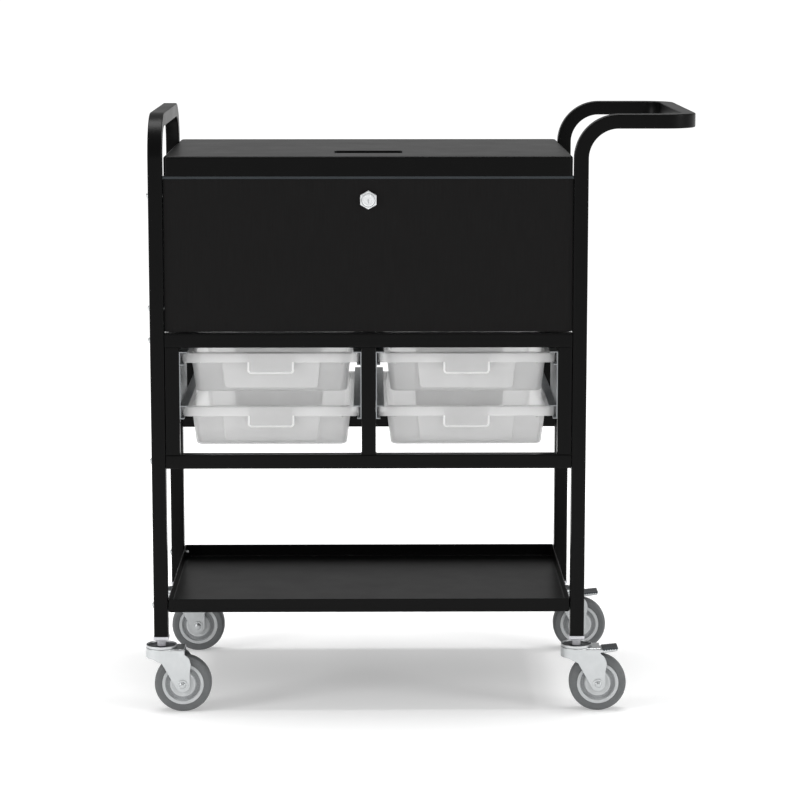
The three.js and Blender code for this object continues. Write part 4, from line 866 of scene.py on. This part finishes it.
def fork_shells(centre, crown, wheel):
    """A pressed fork. Its plan is a U: two straight legs joined by half an ellipse in front of
    the kingpin. A section with a folded top is carried along the U, and its foot follows the
    leg's lower edge. Two plates carry the legs on past the end of the crown."""
    half, end = HALF_FORK, TRAIL + 4.0
    arc_start = TRAIL - LEG_END * math.cos(0.12 * math.pi)
    leg_x = np.concatenate([
        np.linspace(end, arc_start, 20), np.linspace(25.5, 2.0, 8), np.linspace(1.0, 0.0, 2),
    ])
    angle = np.linspace(0, math.pi, 33)[1:-1]
    flat = np.full(len(leg_x), half)
    none, full = np.zeros(len(leg_x)), np.ones(len(leg_x))
    plan = np.stack([
        np.concatenate([leg_x, -HEAD * np.sin(angle), leg_x[::-1]]),
        np.concatenate([-flat, -half * np.cos(angle), flat]),
    ], -1)
    inward = np.stack([
        np.concatenate([none, np.sin(angle) / HEAD, none]),
        np.concatenate([full, np.cos(angle) / half, -full]),
    ], -1)
    inward /= np.linalg.norm(inward, axis=1, keepdims=True)
    low = leg_low(plan[:, 0], wheel, crown)[:, None]
    lean = np.linspace(0, math.pi / 2, 7)
    outer_a = CROWN_FOLD * (1 - np.cos(lean))
    outer_z = crown - CROWN_FOLD * (1 - np.sin(lean))
    fold = CROWN_FOLD - FORK_SHEET
    inner_a = FORK_SHEET + fold * (1 - np.cos(lean))
    inner_z = crown - FORK_SHEET - fold * (1 - np.sin(lean))
    wall = low + 0.5
    run = wall + (outer_z[0] - wall) * np.linspace(0, 1, 4)[1:-1]
    over = np.concatenate([outer_z, [crown, crown - FORK_SHEET], inner_z[::-1]])
    z = np.hstack([low, wall, run, np.tile(over, (len(low), 1)), run[:, ::-1], wall, low])
    a = np.concatenate([
        [0.5, 0.0, 0.0, 0.0], outer_a, [7.0, 7.0], inner_a[::-1],
        [FORK_SHEET, FORK_SHEET, FORK_SHEET, FORK_SHEET - 0.5],
    ])
    rings = np.concatenate([plan[:, None] + inward[:, None] * a[:, None], z[..., None]], -1)
    shells = [loft(rings + centre)]
    front = np.linspace(0, math.pi, 25)
    inset = 4.0
    plan = np.concatenate([
        [(end - 0.3, -half + inset)],
        np.stack([-(HEAD - inset) * np.sin(front), -(half - inset) * np.cos(front)], -1),
        [(end - 0.3, half - inset)],
    ])
    shells.append(plate(plan + centre[:2], "z", crown - FORK_SHEET + 0.1, crown - 0.1, 0.2))
    back = TRAIL + LEG_END
    shoulder = crown - 10.0
    curve = np.linspace(0, 1, 9)[:, None]
    bulge = (
        (1 - curve) ** 2 * np.array([end, shoulder])
        + 2 * curve * (1 - curve) * np.array([back + 2, shoulder - 7])
        + curve ** 2 * np.array([back + 2, shoulder - 20])
    )
    round_end = np.linspace(0, -math.acos(4.0 / LEG_END), 12)
    ends = np.stack([TRAIL + LEG_END * np.cos(round_end), wheel + LEG_END * np.sin(round_end)], -1)
    inside = [(end - 8, wheel - 9), (end - 8, shoulder - 1.5)]
    outline = np.concatenate([bulge, [(back, wheel + 23)], ends, inside])
    thin = 0.03
    for near, far in ((-half + thin, -half + FORK_SHEET - thin), (half - FORK_SHEET + thin, half - thin)):
        shells.append(plate(outline + centre[[0, 2]], "y", centre[1] + near, centre[1] + far, 0.4))
    seat = [(8.5, crown - 2.4), (HEAD, crown - 2.4), (HEAD, crown), (8.5, crown)]
    seat = rounded(seat, [0, 0, 1.4, 0], True, 5)
    shells.append(turned(seat, centre, "z", 96))
    return shells


def make_caster(place):
    """A caster on its stem: dished cap, pressed fork, axle, moulded wheel and tyre. The pedal on
    two of the four is made apart, in make_pedal."""
    stem_low, stem_high = box_mm(place + "_caster_stem")
    low, high = box_mm(place + "_fork")
    tyre_low, tyre_high = box_mm(place + "_tyre")
    kingpin = (stem_low + stem_high) / 2 * [1, 1, 0]
    axle = np.array([(tyre_low[0] + tyre_high[0]) / 2, kingpin[1], (tyre_low[2] + tyre_high[2]) / 2])
    crown = high[2]
    swivel, rolling = place + "_swivel", place + "_wheel"

    foot = stem_high[2] - 40.0
    flange_low, flange_high = kingpin[:2] - 13.5, kingpin[:2] + 13.5
    flange = rounded(
        [(3, foot - 5.8, 1.2), (0, foot - 5.8, 1.8), (0, foot - 0.3, 1.8), (3, foot - 0.3, 1.2)],
        [0, 0.8, 0.8, 0],
    )
    plug = [(0.5, foot - 1.3, 1), (0, foot, 1.5), (0, foot + 39, 1.5), (1, foot + 40, 1)]
    neck = [
        (9, stem_low[2]), (9, crown - 2.8), (6, crown - 2.8), (6, crown + 0.3),
        (7.7, crown + 0.3), (7.7, foot - 7.6), (8.4, foot - 6.4), (8.9, foot - 5.6),
    ]
    shells = [
        pressed(flange_low, flange_high, flange),
        pressed(kingpin[:2] - 10.2, kingpin[:2] + 10.2, plug),
        turned(neck, kingpin, "z", 48, False),
    ]
    stem = place + "_caster_stem"
    piece(place + "_stem", shells, FINISH["dull_zinc"], "cart_frame", [stem])

    top = crown + 5.0
    edge = rounded(
        [(20, crown + 0.3), (27.5, crown + 0.3), (27.5, top), (26.3, top), (25.7, top - 2.9), (20, top - 3.3)],
        [0.2, 0.7, 0.6, 0.5, 0.6, 0.3], True, 5,
    )
    shells = [turned(edge, kingpin, "z", 96)]
    cap = place + "_swivel_cap"
    piece(place + "_cap_edge", shells, FINISH["zinc_plate"], swivel, [cap])
    dish = rounded(
        [
            (8.1, crown + 0.4), (19.8, crown + 0.4), (19.8, top - 3.0), (25.5, top - 2.6),
            (24.8, top - 2.2), (14, top - 2.9), (8.1, top - 1.9),
        ],
        [0.2, 0.2, 0.2, 0.1, 0.3, 3, 0.5], True, 4,
    )
    shells = [turned(dish, kingpin, "z", 72)]
    # The dish takes the dark steel finish as a painted reflection: the swivel head's top, dark where it mirrors
    # the dark cart above.
    piece(place + "_cap_dish", shells, FINISH["dark_steel"], swivel, [])
    shells = fork_shells(kingpin, crown, axle[2])
    fork = place + "_fork"
    piece(fork + "_pressing", shells, FINISH["zinc_plate"], swivel, [fork])

    half = HALF_FORK
    shank = [(4.4, -half - 0.3), (5.0, -half + 0.4), (5.0, half - 0.4), (4.4, half + 0.3)]
    shells = [turned(shank, axle, "y", 32, False)]
    for way in (-1, 1):
        face = way * (half + 0.3)
        washer = [(4.5, face), (9.7, face), (9.7, face + way * 1.3), (4.5, face + way * 1.3)]
        shells.append(turned(rounded(washer, [0, 0.3, 0.5, 0], True, 4), axle, "y", 56))
        lean = np.linspace(0, math.pi / 2, 9)[:-1]
        dome = np.column_stack([6.0 * np.cos(lean), face + way * (2.2 + 2.8 * np.sin(lean))])
        shells.append(turned(np.concatenate([[(6.2, face + way * 1.2)], dome]), axle, "y", 48, False))
    piece(place + "_axle_bolt", shells, FINISH["zinc_plate"], swivel, [place + "_axle"])

    side = rounded(
        [
            (5.3, 20.2), (9.5, 20.2), (9.5, 16.7), (20.5, 16.5), (22.5, 15.4),
            (23.4, 7.6), (30.2, 7.0), (31.6, 13.6), (37.0, 14.0),
        ],
        [0, 0.6, 1.2, 1.2, 0.8, 1.6, 1.8, 0.8, 0], steps=5,
    )
    whole = np.concatenate([side * [1, -1], side[::-1]])
    shells = [turned(whole, axle, "y", 112)]
    hub = place + "_wheel_hub"
    piece(place + "_wheel_centre", shells, FINISH["grey_nylon"], rolling, [hub])

    webs = []
    for way in (-1, 1):
        web = [(23.9, way * 6.9), (23.9, way * 7.8), (30.6, way * 7.8), (30.6, way * 6.9)]
        webs.append(turned(rounded(web, [0, 0.3, 0.3, 0], True, 3), axle, "y", 96))
    # The web's darker finish is painted shade in the wheel's recess.
    piece(place + "_wheel_web", webs, FINISH["grained_nylon_painted_shade"], rolling, [])

    outer, inner = (tyre_high[2] - tyre_low[2]) / 2, 37.3
    tread = rounded(
        [
            (inner, -14), (inner + 2, -14.6), (outer - 4.6, -15), (outer - 0.5, -11.2), (outer, 0),
            (outer - 0.5, 11.2), (outer - 4.6, 15), (inner + 2, 14.6), (inner, 14),
        ],
        [0, 1.0, 3.5, 3.5, 40, 3.5, 3.5, 1.0, 0], True, 7,
    )
    shells = [turned(tread, axle, "y", 144)]
    tyre = place + "_tyre"
    piece(tyre + "_ring", shells, FINISH["grey_rubber"], rolling, [tyre])


def make_pedal(place):
    """The pedal's side view drawn out to its width, the pin that it turns on, and a dark pad
    with six teeth evenly spaced along the slope of its top."""
    low, high = box_mm(place + "_brake_pedal")
    stem_low, stem_high = box_mm(place + "_caster_stem")
    kingpin = (stem_low + stem_high) / 2 * [1, 1, 0]
    crown = box_mm(place + "_fork")[1][2] - FORK_SHEET
    pin = kingpin[0] + TRAIL - 4
    tip = high[0]
    side = rounded(
        [
            (pin - 5, crown - 8.2), (pin + 16, crown - 7.1), (tip - 2, crown - 3.9),
            (tip, crown - 0.8), (tip - 2, crown + 1.6), (pin + 13, crown - 0.9),
            (pin + 9.7, crown - 1.8), (pin - 5, crown - 1.8),
        ],
        [1.2, 6, 2.2, 1.6, 1.2, 3, 1.5, 1.0], True, 5,
    )
    width = 17.0
    axis = (pin, kingpin[1], crown - 4.0)
    shells = [
        plate(side, "y", kingpin[1] - width, kingpin[1] + width, 1.1),
        turned([(2.0, -21.5), (2.5, -21.0), (2.5, 21.0), (2.0, 21.5)], axis, "y", 24, False),
    ]
    brake, pedal = place + "_brake", place + "_brake_pedal"
    piece(place + "_pedal", shells, FINISH["zinc_plate"], brake, [pedal])

    slope = 2.5 / (tip - 2 - (pin + 13))
    shells = []
    for k in range(6):
        x = tip - 3.4 - 4.4 * k
        z = crown - 0.9 + (x - pin - 13) * slope
        tooth = [(x - 1.5, z - 2.6), (x + 1.5, z - 2.4), (x + 1.7, z + 1.1), (x - 1.7, z + 0.9)]
        tooth = rounded(tooth, [1.2, 1.2, 0.5, 0.5], True, 4)
        shells.append(plate(tooth, "y", kingpin[1] - width - 0.5, kingpin[1] + width + 0.5, 0.3))
    start, end = pin + 11.5, tip - 0.6
    low_end = crown - 0.9 + (start - pin - 13) * slope
    high_end = crown - 0.9 + (end - pin - 13) * slope
    pad = rounded(
        [(start, low_end - 0.7), (end, high_end - 1.6), (end, high_end + 0.8), (start, low_end + 0.9)],
        [0.4, 1.0, 0.8, 0.5], True, 4,
    )
    shells.append(plate(pad, "y", kingpin[1] - width - 0.3, kingpin[1] + width + 0.3, 0.3))
    piece(place + "_pedal_grip", shells, FINISH["dark_steel"], brake, [])


# ------------------------------------------------- parts kept as they are cut

def soften(node, finish, width):
    """Gives a folded or sawn part its finish, and takes the sharpness off its edges."""
    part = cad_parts[node]
    part.data.materials.clear()
    part.data.materials.append(FINISH[finish])
    edge = part.modifiers.new("broken_edges", "BEVEL")
    edge.width = width * MM
    edge.segments = 2
    edge.limit_method = "ANGLE"
    edge.angle_limit = math.radians(40)
    edge.harden_normals = True


def finish_kept_parts():
    """The flat sheets, the hinge and the runners keep their cut shapes."""
    for node in ("cabinet_left_side", "cabinet_right_side", "cabinet_back_panel", "cabinet_floor"):
        soften(node, "black_powder_coat", 0.4)
    soften("cabinet_front_panel", "black_laminate", 0.5)
    soften("cabinet_top_rim", "dark_steel", 0.5)
    soften("lid_catch", "zinc_plate", 0.4)
    soften("lock_cam", "zinc_plate", 0.4)
    soften("hinge_fixed_leaf", "dark_steel", 0.15)
    soften("hinge_lid_leaf", "dark_steel", 0.15)
    soften("hinge_pin", "zinc_plate", 0.15)
    for bay in ("left", "right"):
        for side in ("left", "right"):
            # The runners take the darker zinc: painted shade.
            soften(f"{bay}_bay_{side}_runner", "rolled_zinc_painted_shade", 0.35)


# -------------------------------------------------------------------- studio

def plane(name, centre, size, tilt=(0.0, 0.0, 0.0)):
    """A flat rectangle for the studio."""
    mesh = bpy.data.meshes.new(name)
    u, v = size[0] / 2, size[1] / 2
    mesh.from_pydata([(-u, -v, 0), (u, -v, 0), (u, v, 0), (-u, v, 0)], [], [(0, 1, 2, 3)])
    made = bpy.data.objects.new(name, mesh)
    made.location, made.rotation_euler = centre, tilt
    bpy.context.scene.collection.objects.link(made)
    return made


def lamp(name, place, aim, size, watts):
    """A soft rectangular lamp turned towards a point."""
    data = bpy.data.lights.new(name, "AREA")
    data.shape = "RECTANGLE"
    data.size, data.size_y = size
    data.energy = watts
    made = bpy.data.objects.new(name, data)
    way = np.array(aim) - np.array(place)
    across = math.hypot(way[0], way[1])
    made.location = place
    made.rotation_euler = (math.atan2(across, -way[2]), 0.0, math.atan2(way[1], way[0]) - math.pi / 2)
    bpy.context.scene.collection.objects.link(made)


def make_studio():
    """A pale paper floor with a painted glow that grows with distance, pale walls, three soft lamps, the
    camera.
    """
    scene = bpy.context.scene
    floor = plane("studio_floor", (0, 0, 0), (300, 300))
    paper = bpy.data.materials.new("studio_paper_painted_glow")
    paper.use_nodes = True
    tree = paper.node_tree
    tree.nodes.clear()
    place = add(tree, "ShaderNodeTexCoord", out="Object")
    # Painted light: the floor glows as well, 0.3 near the cart and 0.75 past two metres, which whitens the
    # backdrop and lightens the cart's shadow.
    away = add(tree, "ShaderNodeVectorMath", {"operation": "LENGTH"}, "Value", _0=place)
    far = add(
        tree, "ShaderNodeMapRange", {"interpolation_type": "SMOOTHSTEP"},
        Value=away, From__Min=0.4, From__Max=2.0, To__Min=0.3, To__Max=0.75,
    )
    sheet = add(tree, "ShaderNodeBsdfDiffuse", Color=linear("#E4E4E4"))
    painted_floor_glow = add(tree, "ShaderNodeEmission", Color=linear("#FFFFFF"), Strength=far)
    add(tree, "ShaderNodeOutputMaterial", Surface=add(tree, "ShaderNodeAddShader", _0=sheet, _1=painted_floor_glow))
    floor.data.materials.append(paper)

    world = bpy.data.worlds.new("studio_walls")
    world.use_nodes = True
    tree = world.node_tree
    tree.nodes.clear()
    light = add(tree, "ShaderNodeBackground", Color=linear("#F2F2F2"), Strength=0.5)
    add(tree, "ShaderNodeOutputWorld", Surface=light)
    scene.world = world

    lamp("overhead_lamp", (-0.1, 0.1, 3.4), (-0.1, 0.0, 0.6), (3.0, 1.1), 105)
    lamp("left_lamp", (-4.2, -2.4, 2.0), (0, 0, 0.5), (1.4, 1.4), 70)
    lamp("right_lamp", (4.2, -2.4, 2.0), (0, 0, 0.5), (1.4, 1.4), 60)

    camera_data = bpy.data.cameras.new("camera")
    camera_data.sensor_width = 36
    camera_data.lens = 123.56
    camera = bpy.data.objects.new("camera", camera_data)
    camera.location = (-0.0809, -4.9968, 1.3285)
    camera.rotation_euler = (math.radians(90 - 9.118), 0, math.radians(-0.585))
    scene.collection.objects.link(camera)
    scene.camera = camera
    scene.view_settings.view_transform = "Standard"


make_end_frames()
make_bolts()
make_lid()
make_lock()
make_ladders()
make_shelf()
make_trays()
for place in PLACES:
    make_caster(place)
make_pedal("front_right")
make_pedal("rear_right")
finish_kept_parts()
make_studio()
